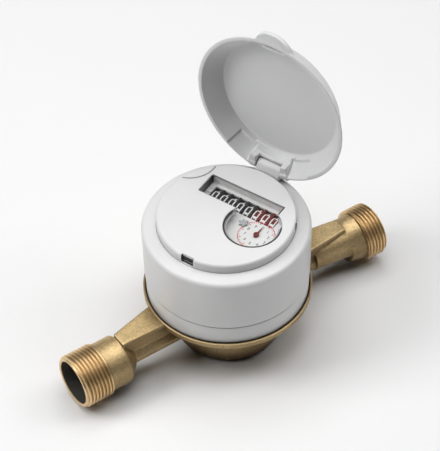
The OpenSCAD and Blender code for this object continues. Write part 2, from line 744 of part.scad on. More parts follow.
// Floor of the register, with the skirt that swivels on the collar
module register_base() {
  lip_in_r = collar_r - groove_d + part_gap;
  color(white_tone) difference() {
    rotate_extrude() polygon([
      [0, base_z], [skirt_in_r, base_z], [skirt_in_r, groove_z + groove_h - part_gap],
      [lip_in_r, groove_z + groove_h - part_gap], [lip_in_r, groove_z + part_gap],
      [skirt_in_r, groove_z + part_gap], [skirt_in_r, skirt_low], [skirt_out_r, skirt_low],
      [skirt_out_r, base_z], [base_r, base_z], [base_r, base_top], [0, base_top]]);
    head_place() for (at = [[0, 0], transfer_at, pointer_at, drive_at])
      translate([at.x, at.y, base_top - bearing_d]) cylinder(r = arbor_r + run_fit, h = bearing_d + past);
  }
}

// Bearing plate on pillars, with two cheeks for the drum and pinion shafts
module register_frame() {
  color(grey_tone) head_place() difference() {
    union() {
      translate([0, 0, frame_z]) linear_extrude(frame_t) {
        circle(r = frame_r);
        translate([cheek_left - cheek_pad, cheek_v0 - cheek_pad])
          square([cheek_right - cheek_left + cheek_t + 2 * cheek_pad, cheek_v1 - cheek_v0 + 2 * cheek_pad]);
      }
      for (p = pillars) translate([p.x, p.y, base_top]) cylinder(r = pillar_r, h = frame_z - base_top + eps);
      for (u = [cheek_left, cheek_right])
        translate([u, 0, 0]) rotate([90, 0, 90]) linear_extrude(cheek_t) polygon([
          [cheek_v0, frame_top - eps], [cheek_v1, frame_top - eps], [cheek_v1, carry_z + cheek_rise],
          [2 * drum_v - cheek_v0, carry_z + 2 * cheek_rise], [2 * drum_v - cheek_v0, drum_z_axis + cheek_rise],
          [cheek_v0, drum_z_axis + cheek_rise]]);
      for (p = [pillars[1], pillars[3], pillars[0]])
        translate([p.x, p.y, frame_top - eps]) cylinder(r = pillar_r, h = face_low - frame_top + eps);
    }
    for (at = [[0, 0], transfer_at, pointer_at, drive_at])
      translate([at.x, at.y, frame_z - past]) cylinder(r = arbor_r + run_fit, h = frame_t + 2 * past);
    along_dial(cheek_left - past, drum_v, drum_z_axis, drum_shaft_r, cheek_right - cheek_left + cheek_t + 2 * past);
    along_dial(cheek_left - past, carry_v, carry_z, carry_shaft_r, cheek_right - cheek_left + cheek_t + 2 * past);
  }
}

// Printed face with a slot for the drums and holes for the pointer and star arbors
module dial_face() {
  slot_half = 3.25;
  slot_from = drum_first - drum_pitch / 2;
  slot_to = drum_last + drum_pitch / 2 + 0.4;
  color(white_tone) head_place() difference() {
    translate([0, 0, face_low]) cylinder(r = face_r, h = face_t);
    translate([slot_from, drum_v - slot_half, face_low - past])
      cube([slot_to - slot_from, 2 * slot_half, face_t + 2 * past]);
    for (at = [transfer_at, pointer_at])
      translate([at.x, at.y, face_low - past]) cylinder(r = arbor_r + part_gap, h = face_t + 2 * past);
  }
}

module drum_shaft() {
  color(steel_tone) head_place()
    along_dial(cheek_left, drum_v, drum_z_axis, drum_shaft_r, cheek_right - cheek_left + cheek_t);
}

module pinion_shaft() {
  color(steel_tone) head_place()
    along_dial(cheek_left, carry_v, carry_z, carry_shaft_r, cheek_right - cheek_left + cheek_t);
}

// Lid as a tapered cup, drawn closed and then swung open about the hinge
module lid_outside() {
  rotate_extrude() polygon(concat(
    [[0, mouth_z], [lid_r - lid_edge, mouth_z], [lid_r, mouth_z + lid_edge]],
    lid_bend(lid_r, lid_top, lid_round), [[0, lid_top]]));
}

// Hollow of the cup, which leaves the hinge block and the latch nib standing
module lid_hollow() {
  nib_r = lid_in_r - lid_slope * (nib_z + nib_t - mouth_z) - nib_reach;
  difference() {
    rotate_extrude() polygon(concat(
      [[0, mouth_z - past], [lid_in_r + lid_slope * past, mouth_z - past]],
      lid_bend(lid_in_r, lid_floor_z, lid_fillet), [[0, lid_floor_z]]));
    difference() {
      translate([-block_half, 0, shoulder_in_z + seat_gap]) cube([2 * block_half, 2 * lid_r, lid_top]);
      rotate_extrude() polygon([
        [0, mouth_z - past], [block_in_r, mouth_z - past], [block_in_r, block_step_z], [block_top_r, block_top_z],
        [block_top_r, 2 * lid_top], [0, 2 * lid_top]]);
    }
    difference() {
      translate([-nib_w / 2, -2 * lid_r, nib_z]) cube([nib_w, 2 * lid_r, nib_t]);
      translate([0, 0, mouth_z - past]) cylinder(r = nib_r, h = lid_top);
    }
  }
}

// Room for the head's hinge barrel and post through the lid's whole swing
module lid_notch() {
  half = knuckle_half + knuckle_gap;
  along_dial(-half, hinge_r, hinge_z, barrel_r + part_gap, 2 * half);
  intersection() {
    along_dial(-half, hinge_r, hinge_z, swing_r, 2 * half);
    translate([-half, 0, mouth_z - swing_r]) cube([2 * half, 2 * hinge_r, hinge_z - mouth_z + swing_r]);
  }
  translate([-half, hinge_r, mouth_z - past])
    cube([2 * half, 4 * barrel_r, hinge_z + barrel_r - part_gap - mouth_z + past]);
}

// Shallow reliefs of the inner wall on both sides of the hinge block
module lid_relief() {
  for (side = [0, 1]) mirror([side, 0, 0])
    rotate([0, 0, 90 + relief_from]) rotate_extrude(angle = relief_to - relief_from) polygon([
      [lid_floor_r - lid_taper, relief_z], [lid_in_r - lid_slope * (relief_z - mouth_z) + relief_t, relief_z],
      [lid_in_r + lid_slope * past + relief_t, mouth_z - past], [lid_floor_r - lid_taper, mouth_z - past]]);
}

module lid_closed() {
  difference() {
    union() {
      lid_outside();
      translate([tab_off, tab_r - lid_r - tab_reach, tab_z]) cylinder(r = tab_r, h = tab_t);
      along_dial(-block_half, hinge_r, hinge_z, barrel_r, 2 * block_half);
      translate([-block_half + eps, 0, 0]) rotate([90, 0, 90]) linear_extrude(2 * (block_half - eps)) polygon([
        [block_in_r + past, shoulder_in_z + past], [hinge_r, hinge_z - ear_reach], [hinge_r + 1, hinge_z + ear_reach],
        [block_in_r, block_top_z + past]]);
    }
    lid_hollow();
    lid_relief();
    lid_notch();
    along_dial(-pin_half, hinge_r, hinge_z, pin_r + run_fit / 2, 2 * pin_half);
  }
}

module lid() {
  color(lid_tone) head_place()
    translate([0, hinge_r, hinge_z]) rotate([-lid_open, 0, 0]) translate([0, -hinge_r, -hinge_z]) lid_closed();
}

module hinge_pin() {
  color(steel_tone) head_place() along_dial(-pin_half + seat_gap, hinge_r, hinge_z, pin_r, 2 * (pin_half - seat_gap));
}

// Register train, from the follower magnet to the pointer, star and drums
module follower_magnet() {
  color(black_tone) translate([0, 0, follower_z]) difference() {
    cylinder(r = follower_r, h = magnet_h);
    translate([0, 0, -past]) cylinder(r = spindle_r, h = magnet_h + 2 * past);
  }
}

module arbor(z0, z1) {
  translate([0, 0, z0]) cylinder(r = arbor_r, h = z1 - z0);
}

module follower_spindle() {
  color(steel_tone) head_place() rotate([0, 0, mesh1_dir]) {
    arbor(base_top - bearing_d + run_fit, frame_top);
    translate([0, 0, follower_z]) cylinder(r = spindle_r, h = magnet_h);
    translate([0, 0, layer1_z]) gear(pinion_z, gear_m, wheel_t);
  }
}

module transfer_wheel() {
  color(steel_tone) head_place() translate([transfer_at.x, transfer_at.y, 0]) {
    arbor(base_top - bearing_d + run_fit, face_top + 0.3);
    translate([0, 0, layer1_z]) rotate([0, 0, transfer_turn]) gear(wheel_z, gear_m, wheel_t);
    translate([0, 0, layer1_z + wheel_t - eps]) cylinder(r = 2 * arbor_r, h = layer2_z - layer1_z - wheel_t + 2 * eps);
    translate([0, 0, layer2_z]) rotate([0, 0, mesh2_dir]) gear(pinion_z, gear_m, wheel_t);
  }
}

module leak_star() {
  color(grey_tone) head_place() translate([transfer_at.x, transfer_at.y, face_top + 0.3]) linear_extrude(0.7)
    polygon([for (i = [0 : 2 * star_n - 1])
      (i % 2 == 0 ? star_r : star_r * 0.6) * [cos(180 / star_n * i), sin(180 / star_n * i)]]);
}

module pointer_wheel() {
  color(steel_tone) head_place() translate([pointer_at.x, pointer_at.y, 0]) {
    arbor(base_top - bearing_d + run_fit, face_top + 0.3);
    translate([0, 0, layer2_z]) rotate([0, 0, pointer_turn]) gear(pointer_z, gear_m, wheel_t);
  }
}

module pointer() {
  color(red_tone) head_place() translate([pointer_at.x, pointer_at.y, face_top + 0.3]) {
    cylinder(r = 1.3, h = 0.8);
    linear_extrude(0.6) polygon([[-0.5, -1.6], [0.5, -1.6], [0.15, pointer_l], [-0.15, pointer_l]]);
  }
}

module drum_drive() {
  top = drum_z_axis - crown_r + 1;
  color(steel_tone) head_place() translate([drive_at.x, drive_at.y, 0]) {
    arbor(base_top - bearing_d + run_fit, top);
    translate([0, 0, layer2_z]) rotate([0, 0, drive_turn]) gear(wheel_z, gear_m, wheel_t);
    translate([0, 0, drum_z_axis - crown_r - 1]) gear(pinion_z, crown_pinion_r * 2 / pinion_z, 2);
  }
}

// Crown teeth on the end face of the last drum
module crown_teeth() {
  gap = 180 / crown_z;
  for (i = [0 : crown_z - 1]) rotate([i * 360 / crown_z + gap, 0, 0])
    translate([drum_w / 2 - eps, -crown_tooth_w / 2, crown_r - crown_ring / 2])
      cube([crown_h, crown_tooth_w, crown_ring]);
}

module number_drum(i) {
  shade = i <= drum_black_n ? black_tone : red_tone;
  color(shade) head_place() translate([drum_first + (i - 1) * drum_pitch, drum_v, drum_z_axis]) difference() {
    union() {
      translate([-drum_w / 2, 0, 0]) rotate([0, 90, 0]) cylinder(r = drum_r, h = drum_w);
      if (i < drum_n)
        translate([drum_w / 2 - eps, 0, 0]) rotate([0, 90, 0])
          rotate([0, 0, 90 + carry_turn]) gear(drum_z, drum_m, ring_gear_w);
      else crown_teeth();
    }
    translate([-drum_w, 0, 0]) rotate([0, 90, 0]) cylinder(r = drum_shaft_r + run_fit, h = 2 * drum_w);
  }
}

module carry_pinion(i) {
  thick = ring_gear_w - 0.1;
  color(steel_tone) head_place()
    translate([drum_first + (i - 1) * drum_pitch + drum_w / 2 + 0.15, carry_v, carry_z]) rotate([0, 90, 0])
      difference() {
        rotate([0, 0, 90 + carry_turn + 180 / pinion_z]) gear(pinion_z, drum_m, thick);
        translate([0, 0, -past]) cylinder(r = carry_shaft_r + run_fit, h = thick + 2 * past);
      }
}

meter_body();
inlet_strainer();
lower_pivot();
pressure_plate();
seal_ring();
lock_ring();
collar_ring();
impeller();
impeller_spindle();
drive_magnet();
head_shell();
dial_cover();
window_lens();
register_base();
register_frame();
dial_face();
drum_shaft();
pinion_shaft();
lid();
hinge_pin();
follower_magnet();
follower_spindle();
transfer_wheel();
leak_star();
pointer_wheel();
pointer();
drum_drive();
for (i = [1 : drum_n])
  number_drum(i);
for (i = [1 : drum_n - 1])
  carry_pinion(i);
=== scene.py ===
"""Looks of the water meter: camera, light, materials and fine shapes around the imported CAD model."""
import json
import math

import bmesh
import bpy
from mathutils import Matrix, Vector
from mathutils.geometry import tessellate_polygon


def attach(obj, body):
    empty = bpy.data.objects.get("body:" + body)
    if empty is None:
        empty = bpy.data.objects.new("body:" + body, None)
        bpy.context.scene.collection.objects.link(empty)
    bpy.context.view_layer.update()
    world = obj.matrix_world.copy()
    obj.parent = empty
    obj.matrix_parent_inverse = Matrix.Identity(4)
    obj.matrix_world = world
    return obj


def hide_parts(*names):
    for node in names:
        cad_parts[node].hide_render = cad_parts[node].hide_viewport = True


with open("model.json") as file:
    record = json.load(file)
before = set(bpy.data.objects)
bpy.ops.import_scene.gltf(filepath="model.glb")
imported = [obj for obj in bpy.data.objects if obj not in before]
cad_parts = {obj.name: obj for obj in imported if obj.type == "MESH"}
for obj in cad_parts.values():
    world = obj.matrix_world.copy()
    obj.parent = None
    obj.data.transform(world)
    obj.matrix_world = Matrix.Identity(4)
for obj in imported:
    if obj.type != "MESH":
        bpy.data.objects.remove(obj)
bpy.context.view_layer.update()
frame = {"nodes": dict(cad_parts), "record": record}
NODES = frame["nodes"]

MM = 0.001
TAU = 2 * math.pi

# Places, sizes and turns of the part, as its source has them; lengths are in millimetres
HEAD_TURN = math.radians(22 - 90)
AXIS_Z = 15.0
THREAD_R = 13.2205
INLET_THREAD = (-87.0, -72.5)
OUTLET_THREAD = (74.0, 85.0)
MOUTH_R = 10.9
FACE_TOP = 70.0
COVER_TOP = 75.2
DRUM_V, DRUM_Z, DRUM_R = 12.4, 63.0, 6.6
DRUM_FIRST, DRUM_PITCH, DRUM_COUNT, DRUM_BLACK = -14.2, 4.6, 8, 5
POINTER_AT = (16.22, 0.256)
STAR_AT = (7.249, 3.383)
HINGE_V, HINGE_Z, BARREL_R, KNUCKLE_HALF = 37.9, 73.9, 3.0, 6.3
WINDOW = {"left": -19.6, "right": 20.4, "low": 6.0, "high": 18.4, "centre": (14.0, 0.5), "radius": 13.6}
LID_OPEN = math.radians(93.3)

# From the dial's frame, with its drums along X, to the part's, and from the shut lid to the open one
HEAD = Matrix.Rotation(HEAD_TURN, 4, "Z")
HINGE = Matrix.Translation((0, HINGE_V, HINGE_Z))
LID = HEAD @ HINGE @ Matrix.Rotation(-LID_OPEN, 4, "X") @ HINGE.inverted()


# Camera at the photograph's viewing angle

CAMERA_AIM = Vector((4.685, 12.494, 54.10)) * MM
CAMERA_AZIMUTH, CAMERA_ELEVATION, CAMERA_ROLL = (math.radians(a) for a in (-33.31, 46.56, -1.45))
CAMERA_DISTANCE = 1168.6 * MM
CAMERA_SENSOR, CAMERA_LENS = 36.0, 199.56
CAMERA_CLIP = (0.05, 20.0)


def make_camera():
    data = bpy.data.cameras.new("camera")
    data.sensor_width = CAMERA_SENSOR
    data.lens = CAMERA_LENS
    data.clip_start, data.clip_end = CAMERA_CLIP
    cam = bpy.data.objects.new("camera", data)
    bpy.context.scene.collection.objects.link(cam)
    back = Vector((
        math.sin(CAMERA_AZIMUTH) * math.cos(CAMERA_ELEVATION),
        -math.cos(CAMERA_AZIMUTH) * math.cos(CAMERA_ELEVATION),
        math.sin(CAMERA_ELEVATION)))
    right = Vector((math.cos(CAMERA_AZIMUTH), math.sin(CAMERA_AZIMUTH), 0))
    up = back.cross(right)
    rolled_right = right * math.cos(CAMERA_ROLL) + up * math.sin(CAMERA_ROLL)
    rolled_up = up * math.cos(CAMERA_ROLL) - right * math.sin(CAMERA_ROLL)
    turn = Matrix((rolled_right, rolled_up, back)).transposed().to_4x4()
    cam.matrix_world = Matrix.Translation(CAMERA_AIM + back * CAMERA_DISTANCE) @ turn
    bpy.context.scene.camera = cam


# Floor and light, in metres and watts

FLOOR_HALF, FLOOR_DROP = 3.0, 0.0001
SKY_LOW, SKY_HIGH, SKY_HIGH_FROM = 0.06, 0.60, 0.9
LIGHT_AIM = Vector((0, 0, 0.06))
# Name, place, edge length and power of each lamp
LAMPS = (
    ("key", Vector((-0.82, 0.42, 0.9)), 0.5, 6.3),
    ("top", Vector((0.0, 0.12, 1.3)), 1.2, 14.0),
    ("rim", Vector((0.75, -0.3, 0.95)), 0.5, 3.2),
)


def make_stage():
    mesh = bpy.data.meshes.new("floor")
    corners = [(x * FLOOR_HALF, y * FLOOR_HALF, 0) for x, y in ((-1, -1), (1, -1), (1, 1), (-1, 1))]
    mesh.from_pydata(corners, [], [(0, 1, 2, 3)])
    floor = bpy.data.objects.new("floor", mesh)
    bpy.context.scene.collection.objects.link(floor)
    floor.location.z = -FLOOR_DROP
    mesh.materials.append(floor_material())


def area_light(name, place, edge, power):
    data = bpy.data.lights.new(name, "AREA")
    data.shape = "SQUARE"
    data.size = edge
    data.energy = power
    lamp = bpy.data.objects.new(name, data)
    bpy.context.scene.collection.objects.link(lamp)
    lamp.location = place
    lamp.rotation_mode = "QUATERNION"
    lamp.rotation_quaternion = (LIGHT_AIM - place).to_track_quat("-Z", "Y")


def make_light():
    """Lamps, and a sky that grows lighter upwards."""
    scene = bpy.context.scene
    scene.view_settings.view_transform = "Standard"
    world = bpy.data.worlds.new("studio")
    world.use_nodes = True
    tree = world.node_tree
    direction = tree.nodes.new("ShaderNodeTexCoord")
    parts = tree.nodes.new("ShaderNodeSeparateXYZ")
    sky = tree.nodes.new("ShaderNodeMapRange")
    tree.links.new(direction.outputs["Generated"], parts.inputs["Vector"])
    tree.links.new(parts.outputs["Z"], sky.inputs["Value"])
    sky.inputs["From Min"].default_value = 0.0
    sky.inputs["From Max"].default_value = SKY_HIGH_FROM
    sky.inputs["To Min"].default_value = SKY_LOW
    sky.inputs["To Max"].default_value = SKY_HIGH
    tree.links.new(sky.outputs["Result"], tree.nodes["Background"].inputs["Strength"])
    scene.world = world
    for lamp in LAMPS:
        area_light(*lamp)


# Materials

WHITE = (1.0, 1.0, 1.0)
OCCLUSION_SAMPLES = 8


class Nodes:
    """Short calls for building a node material."""

    def __init__(self, name):
        self.material = bpy.data.materials.new(name)
        self.material.use_nodes = True
        self.tree = self.material.node_tree
        self.shader = self.tree.nodes["Principled BSDF"]
        self.coords = None

    def add(self, kind, **values):
        node = self.tree.nodes.new(kind)
        for key, value in values.items():
            if key in node.inputs:
                node.inputs[key].default_value = value
            else:
                setattr(node, key, value)
        return node

    def link(self, out, into):
        self.tree.links.new(out, into)

    def place(self):
        if self.coords is None:
            self.coords = self.add("ShaderNodeTexCoord").outputs["Object"]
        return self.coords

    def noise(self, scale, detail=4.0, roughness=0.55, stretch=None):
        node = self.add("ShaderNodeTexNoise", Scale=scale, Detail=detail, Roughness=roughness)
        source = self.place()
        if stretch:
            mapping = self.add("ShaderNodeMapping", Scale=stretch)
            self.link(source, mapping.inputs["Vector"])
            source = mapping.outputs["Vector"]
        self.link(source, node.inputs["Vector"])
        return node.outputs["Fac"]

    def ramp(self, value, stops):
        """Colours at places along a value; a plain number stands for a grey."""
        node = self.add("ShaderNodeValToRGB")
        elements = node.color_ramp.elements
        while len(elements) < len(stops):
            elements.new(0.5)
        for element, (place, colour) in zip(elements, stops):
            element.position = place
            element.color = (*colour, 1) if isinstance(colour, tuple) else (colour, colour, colour, 1)
        self.link(value, node.inputs["Fac"])
        return node.outputs["Color"]

    def mix(self, factor, a, b, kind="MIX"):
        node = self.add("ShaderNodeMix", data_type="RGBA", blend_type=kind)
        for socket, value in ((node.inputs[0], factor), (node.inputs[6], a), (node.inputs[7], b)):
            if isinstance(value, bpy.types.NodeSocket):
                self.link(value, socket)
            elif isinstance(value, tuple):
                socket.default_value = (*value, 1)
            else:
                socket.default_value = value
        return node.outputs[2]

    def spread(self, value, low, high):
        node = self.add("ShaderNodeMapRange")
        node.inputs["To Min"].default_value = low
        node.inputs["To Max"].default_value = high
        self.link(value, node.inputs["Value"])
        return node.outputs["Result"]

    def bump(self, value, strength, depth):
        node = self.add("ShaderNodeBump", Strength=strength, Distance=depth)
        self.link(value, node.inputs["Height"])
        if self.shader.inputs["Normal"].is_linked:
            self.link(self.shader.inputs["Normal"].links[0].from_socket, node.inputs["Normal"])
        self.link(node.outputs["Normal"], self.shader.inputs["Normal"])

    def along(self, source, direction):
        """A vector's share along a direction of the part's frame."""
        node = self.add("ShaderNodeVectorMath", operation="DOT_PRODUCT")
        self.link(source, node.inputs[0])
        node.inputs[1].default_value = direction
        return node.outputs["Value"]

    def facing(self, direction):
        """How far the surface points in a direction of the part's frame."""
        return self.along(self.add("ShaderNodeTexCoord").outputs["Normal"], direction)

    def openness(self, reach):
        """Share of open space round a point, within a reach in millimetres."""
        node = self.add("ShaderNodeAmbientOcclusion", Distance=reach * MM, samples=OCCLUSION_SAMPLES)
        return node.outputs["AO"]

    def set(self, **values):
        for key, value in values.items():
            socket = self.shader.inputs[key.replace("_", " ")]
            if isinstance(value, bpy.types.NodeSocket):
                self.link(value, socket)
            else:
                socket.default_value = value


def floor_material():
    n = Nodes("floor_paper")
    n.set(Base_Color=n.ramp(n.noise(2.0), [(0.3, 0.86), (0.7, 0.88)]), Roughness=0.9)
    return n.material


def cast_brass_material():
    """Rough casting with painted shade in its corners, under overhangs and on its sides, painted light on its
    upward faces, and edges worn bright with a painted highlight.
    """
    n = Nodes("cast_brass")
    grain = n.noise(900.0, 6.0, 0.65)
    tones = [(0.32, (0.58, 0.42, 0.21)), (0.5, (0.76, 0.565, 0.29)), (0.7, (0.9, 0.69, 0.385))]
    colour = n.ramp(n.noise(55.0, 3.0), tones)
    speck = n.ramp(grain, [(0.35, (0.6, 0.58, 0.56)), (0.6, WHITE)])
    colour = n.mix(0.7, colour, speck, "MULTIPLY")
    # Painted shade: darker in corners and under overhangs, where the casting lies in shade.
    corners = [(0.25, (0.09, 0.072, 0.05)), (0.60, (0.36, 0.315, 0.25)), (0.86, WHITE)]
    colour = n.mix(1.0, colour, n.ramp(n.openness(14.0), corners), "MULTIPLY")
    # Painted light: upward faces lighter, sideways and downward faces darker.
    painted_light_from_above = n.ramp(n.facing((0, 0, 1)), [(0.1, (0.52, 0.50, 0.47)), (0.72, WHITE)])
    colour = n.mix(1.0, colour, painted_light_from_above, "MULTIPLY")
    # Edge wear with a painted highlight: convex edges turn bright gold.
    edges = n.ramp(n.add("ShaderNodeNewGeometry").outputs["Pointiness"], [(0.53, 0.0), (0.62, 0.6)])
    colour = n.mix(edges, colour, (0.95, 0.78, 0.50))
    n.set(Base_Color=colour, Metallic=0.7, Roughness=n.spread(grain, 0.36, 0.58))
    n.bump(grain, 0.35, 0.25 * MM)
    n.bump(n.noise(260.0, 4.0), 0.25, 0.5 * MM)
    return n.material


def turned_brass_material():
    """Machined thread with fine turning marks and painted shade down between its ridges."""
    n = Nodes("turned_brass")
    rings = n.noise(900.0, 3.0, 0.6, (6.0, 0.15, 0.15))
    colour = n.ramp(n.noise(120.0, 3.0), [(0.3, (0.70, 0.495, 0.255)), (0.7, (0.88, 0.655, 0.37))])
    # Painted shade in the thread's hollows between its ridges.
    painted_root_shade = n.ramp(n.openness(1.5), [(0.25, (0.22, 0.17, 0.12)), (0.75, WHITE)])
    colour = n.mix(0.9, colour, painted_root_shade, "MULTIPLY")
    n.set(Base_Color=colour, Metallic=0.85, Roughness=n.spread(rings, 0.26, 0.46))
    n.bump(rings, 0.2, 0.08 * MM)
    return n.material


FINE_GRAIN = 0.08
# Reach of the painted shade in the creases and corners of the white mouldings, and its tones
CREASE_SHADE_REACH, CREASE_SHADE = 3.0, [(0.12, 0.08), (0.55, WHITE)]
# Which way the walls of the open lid's cup point that get painted shade, and the tone of that shade
LID_TURN = LID.to_3x3()
CUP_WALLS = (LID_TURN @ Vector((0, 0, -1)), [(0.2, 0.0), (0.4, 1.0), (0.72, 1.0), (0.88, 0.0)])
FAR_SIDE = (LID_TURN @ Vector((0.88, -0.47, 0)), [(0.25, 0.0), (0.7, 1.0)])
SHADED = (0.72, 0.72, 0.72)
# Low and high tone, roughness range and grain of the plain plastics
PLASTICS = {
    "dial_white": ((0.82, 0.82, 0.81), (0.86, 0.86, 0.85), (0.5, 0.6), FINE_GRAIN),
    "grey_plastic": ((0.42, 0.43, 0.44), (0.5, 0.51, 0.52), (0.45, 0.6), FINE_GRAIN),
    "wheel_plastic": ((0.68, 0.68, 0.66), (0.75, 0.75, 0.73), (0.45, 0.6), FINE_GRAIN),
    "black_plastic": ((0.012, 0.012, 0.013), (0.022, 0.022, 0.023), (0.4, 0.5), FINE_GRAIN),
    "red_plastic": ((0.15, 0.012, 0.010), (0.20, 0.016, 0.013), (0.4, 0.5), FINE_GRAIN),
    "rubber": ((0.02, 0.02, 0.02), (0.035, 0.035, 0.035), (0.7, 0.8), 0.3),
    "magnet": ((0.05, 0.05, 0.055), (0.08, 0.08, 0.085), (0.55, 0.7), 0.2),
    "print_white": ((0.85, 0.85, 0.84), (0.9, 0.9, 0.89), (0.5, 0.6), FINE_GRAIN),
    "print_black": ((0.02, 0.02, 0.02), (0.035, 0.035, 0.035), (0.5, 0.6), FINE_GRAIN),
    "print_red": ((0.55, 0.03, 0.025), (0.65, 0.045, 0.04), (0.5, 0.6), FINE_GRAIN),
    "line_grey": ((0.2, 0.2, 0.21), (0.26, 0.26, 0.27), (0.5, 0.6), FINE_GRAIN),
    "mid_grey": ((0.36, 0.36, 0.37), (0.42, 0.42, 0.43), (0.3, 0.4), FINE_GRAIN),
    "bore_dark": ((0.035, 0.032, 0.027), (0.06, 0.055, 0.047), (0.6, 0.75), 0.3),
    "well_dark": ((0.02, 0.02, 0.021), (0.035, 0.035, 0.036), (0.4, 0.5), FINE_GRAIN),
}


def plastic_material(name, low, high, roughness, grain, painted_crease_shade=False, shaded=()):
    """Moulded plastic; faces that point as every (direction, stops) of shaded says get painted shade, and
    creases and corners get painted shade when asked.
    """
    n = Nodes(name)
    fine = n.noise(2600.0, 3.0)
    colour = n.ramp(n.noise(24.0, 3.0), [(0.3, low), (0.7, high)])
    if painted_crease_shade:
        # Painted shade in creases and corners, where the mouldings meet or fold.
        colour = n.mix(1.0, colour, n.ramp(n.openness(CREASE_SHADE_REACH), CREASE_SHADE), "MULTIPLY")
    if shaded:
        # Painted shade on faces that point the listed ways.
        share = WHITE
        for direction, stops in shaded:
            share = n.mix(1.0, share, n.ramp(n.facing(direction), stops), "MULTIPLY")
        colour = n.mix(share, colour, SHADED, "MULTIPLY")
    n.set(Base_Color=colour, Roughness=n.spread(fine, *roughness))
    n.bump(fine, grain, 0.05 * MM)
    return n.material


def steel_material():
    n = Nodes("ground_steel")
    lines = n.noise(1400.0, 3.0, 0.6, (0.1, 4.0, 4.0))
    n.set(Base_Color=n.ramp(lines, [(0.3, (0.5, 0.51, 0.52)), (0.7, (0.66, 0.67, 0.68))]),
          Metallic=1.0, Roughness=n.spread(lines, 0.25, 0.42))
    return n.material


def lens_material():
    n = Nodes("clear_lens")
    n.set(Base_Color=(0.10, 0.11, 0.11, 1), Roughness=n.spread(n.noise(90.0, 3.0), 0.02, 0.06),
          Alpha=0.06, Specular_IOR_Level=0.9)
    return n.material


def well_end_material():
    """Wall with painted shadow: black at the far corner, grey towards the near one."""
    n = Nodes("well_end")
    depth = n.add("ShaderNodeMapRange")
    depth.inputs["From Min"].default_value = WINDOW["low"] * MM
    depth.inputs["From Max"].default_value = WINDOW["high"] * MM
    n.link(n.along(n.place(), HEAD.to_3x3() @ Vector((0, 1, 0))), depth.inputs["Value"])
    # Painted shadow: darker towards the far corner.
    n.set(Base_Color=n.ramp(depth.outputs["Result"], [(0.2, 0.22), (0.75, 0.012)]), Roughness=0.5)
    return n.material


def make_materials():
    """Materials by name: those of the part's slots and those of the scene's own pieces."""
    made = {name: plastic_material(name, *looks) for name, looks in PLASTICS.items()}
    made["white_plastic"] = plastic_material(
        "white_plastic", (0.70, 0.70, 0.70), (0.74, 0.74, 0.74), (0.34, 0.44), FINE_GRAIN, True)
    made["lid_plastic"] = plastic_material(
        "lid_plastic", (0.70, 0.702, 0.705), (0.74, 0.742, 0.745), (0.34, 0.44), FINE_GRAIN, True,
        [CUP_WALLS, FAR_SIDE])
    made["cast_brass"] = cast_brass_material()
    made["turned_brass"] = turned_brass_material()
    made["clear"] = lens_material()
    made["steel"] = steel_material()
    made["well_end"] = well_end_material()
    return made


MATERIALS = make_materials()


def dress_nodes():
    """Gives every CAD node the material of its slot."""
    for part in frame["record"]["subparts"]:
        slots = NODES[part["node"]].material_slots
        for slot in slots:
            slot.link = "OBJECT"
            slot.material = MATERIALS[part["material_slot"]]


# Piece helpers

def piece(name, mesh, body, material, nodes=(), sharp=35.0, place=None):
    """Makes a riding piece of a mesh in millimetres; place turns it into the part's frame first."""
    if place is not None:
        mesh.transform(place)
    mesh.transform(Matrix.Scale(MM, 4))
    metre_piece(name, mesh, body, material, nodes, sharp)


def metre_piece(name, mesh, body, material, nodes=(), sharp=35.0):
    """Makes a riding piece of a mesh in metres; edges over sharp, in degrees, stay hard."""
    mesh.name = name
    mesh.materials.clear()
    mesh.materials.append(MATERIALS[material])
    mesh.shade_smooth()
    mesh.set_sharp_from_angle(angle=math.radians(sharp))
    made = bpy.data.objects.new(name, mesh)
    bpy.context.scene.collection.objects.link(made)
    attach(made, body)
    if nodes:
        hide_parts(*nodes)


def grid_mesh(rows, wrap_rows=False, wrap_columns=True):
    """Quads between rows of points."""
    count, width = len(rows), len(rows[0])
    points = [point for row in rows for point in row]
    faces = []
    for i in range(count if wrap_rows else count - 1):
        for j in range(width if wrap_columns else width - 1):
            a, b = i * width, (i + 1) % count * width
            k = (j + 1) % width
            faces.append((a + j, a + k, b + k, b + j))
    mesh = bpy.data.meshes.new("grid")
    mesh.from_pydata(points, [], faces)
    return mesh


def lathe(profile, segments=240):
    """Closed ring about Z from a closed profile of (radius, height), counter-clockwise."""
    rows = [[(r * math.cos(TAU * j / segments), r * math.sin(TAU * j / segments), z) for j in range(segments)]
            for r, z in profile]
    return grid_mesh(rows, wrap_rows=True)


def arc(centre, radius, start, end, steps):
    """Points of an arc between two turns in degrees, both ends included."""
    turns = [math.radians(start + (end - start) * i / steps) for i in range(steps + 1)]
    return [(centre[0] + radius * math.cos(t), centre[1] + radius * math.sin(t)) for t in turns]


def plate(loops, low, high):
    """Flat plate with holes: the first loop is its outline, the others are holes."""
    flat = [point for loop in loops for point in loop]
    triangles = tessellate_polygon([[Vector((x, y, 0)) for x, y in loop] for loop in loops])
    count = len(flat)
    points = [(x, y, low) for x, y in flat] + [(x, y, high) for x, y in flat]
    faces = []
    for a, b, c in triangles:
        faces.append((c, b, a))
        faces.append((a + count, b + count, c + count))
    start = 0
    for loop in loops:
        for i in range(len(loop)):
            a, b = start + i, start + (i + 1) % len(loop)
            faces.append((a, b, b + count, a + count))
        start += len(loop)
    mesh = bpy.data.meshes.new("plate")
    mesh.from_pydata(points, [], faces)
    edit = bmesh.new()
    edit.from_mesh(mesh)
    bmesh.ops.recalc_face_normals(edit, faces=edit.faces)
    edit.to_mesh(mesh)
    edit.free()
    return mesh


def box_mesh(low, high):
    """Upright box between two corners."""
    (x0, y0, z0), (x1, y1, z1) = low, high
    return plate([[(x0, y0), (x1, y0), (x1, y1), (x0, y1)]], z0, z1)


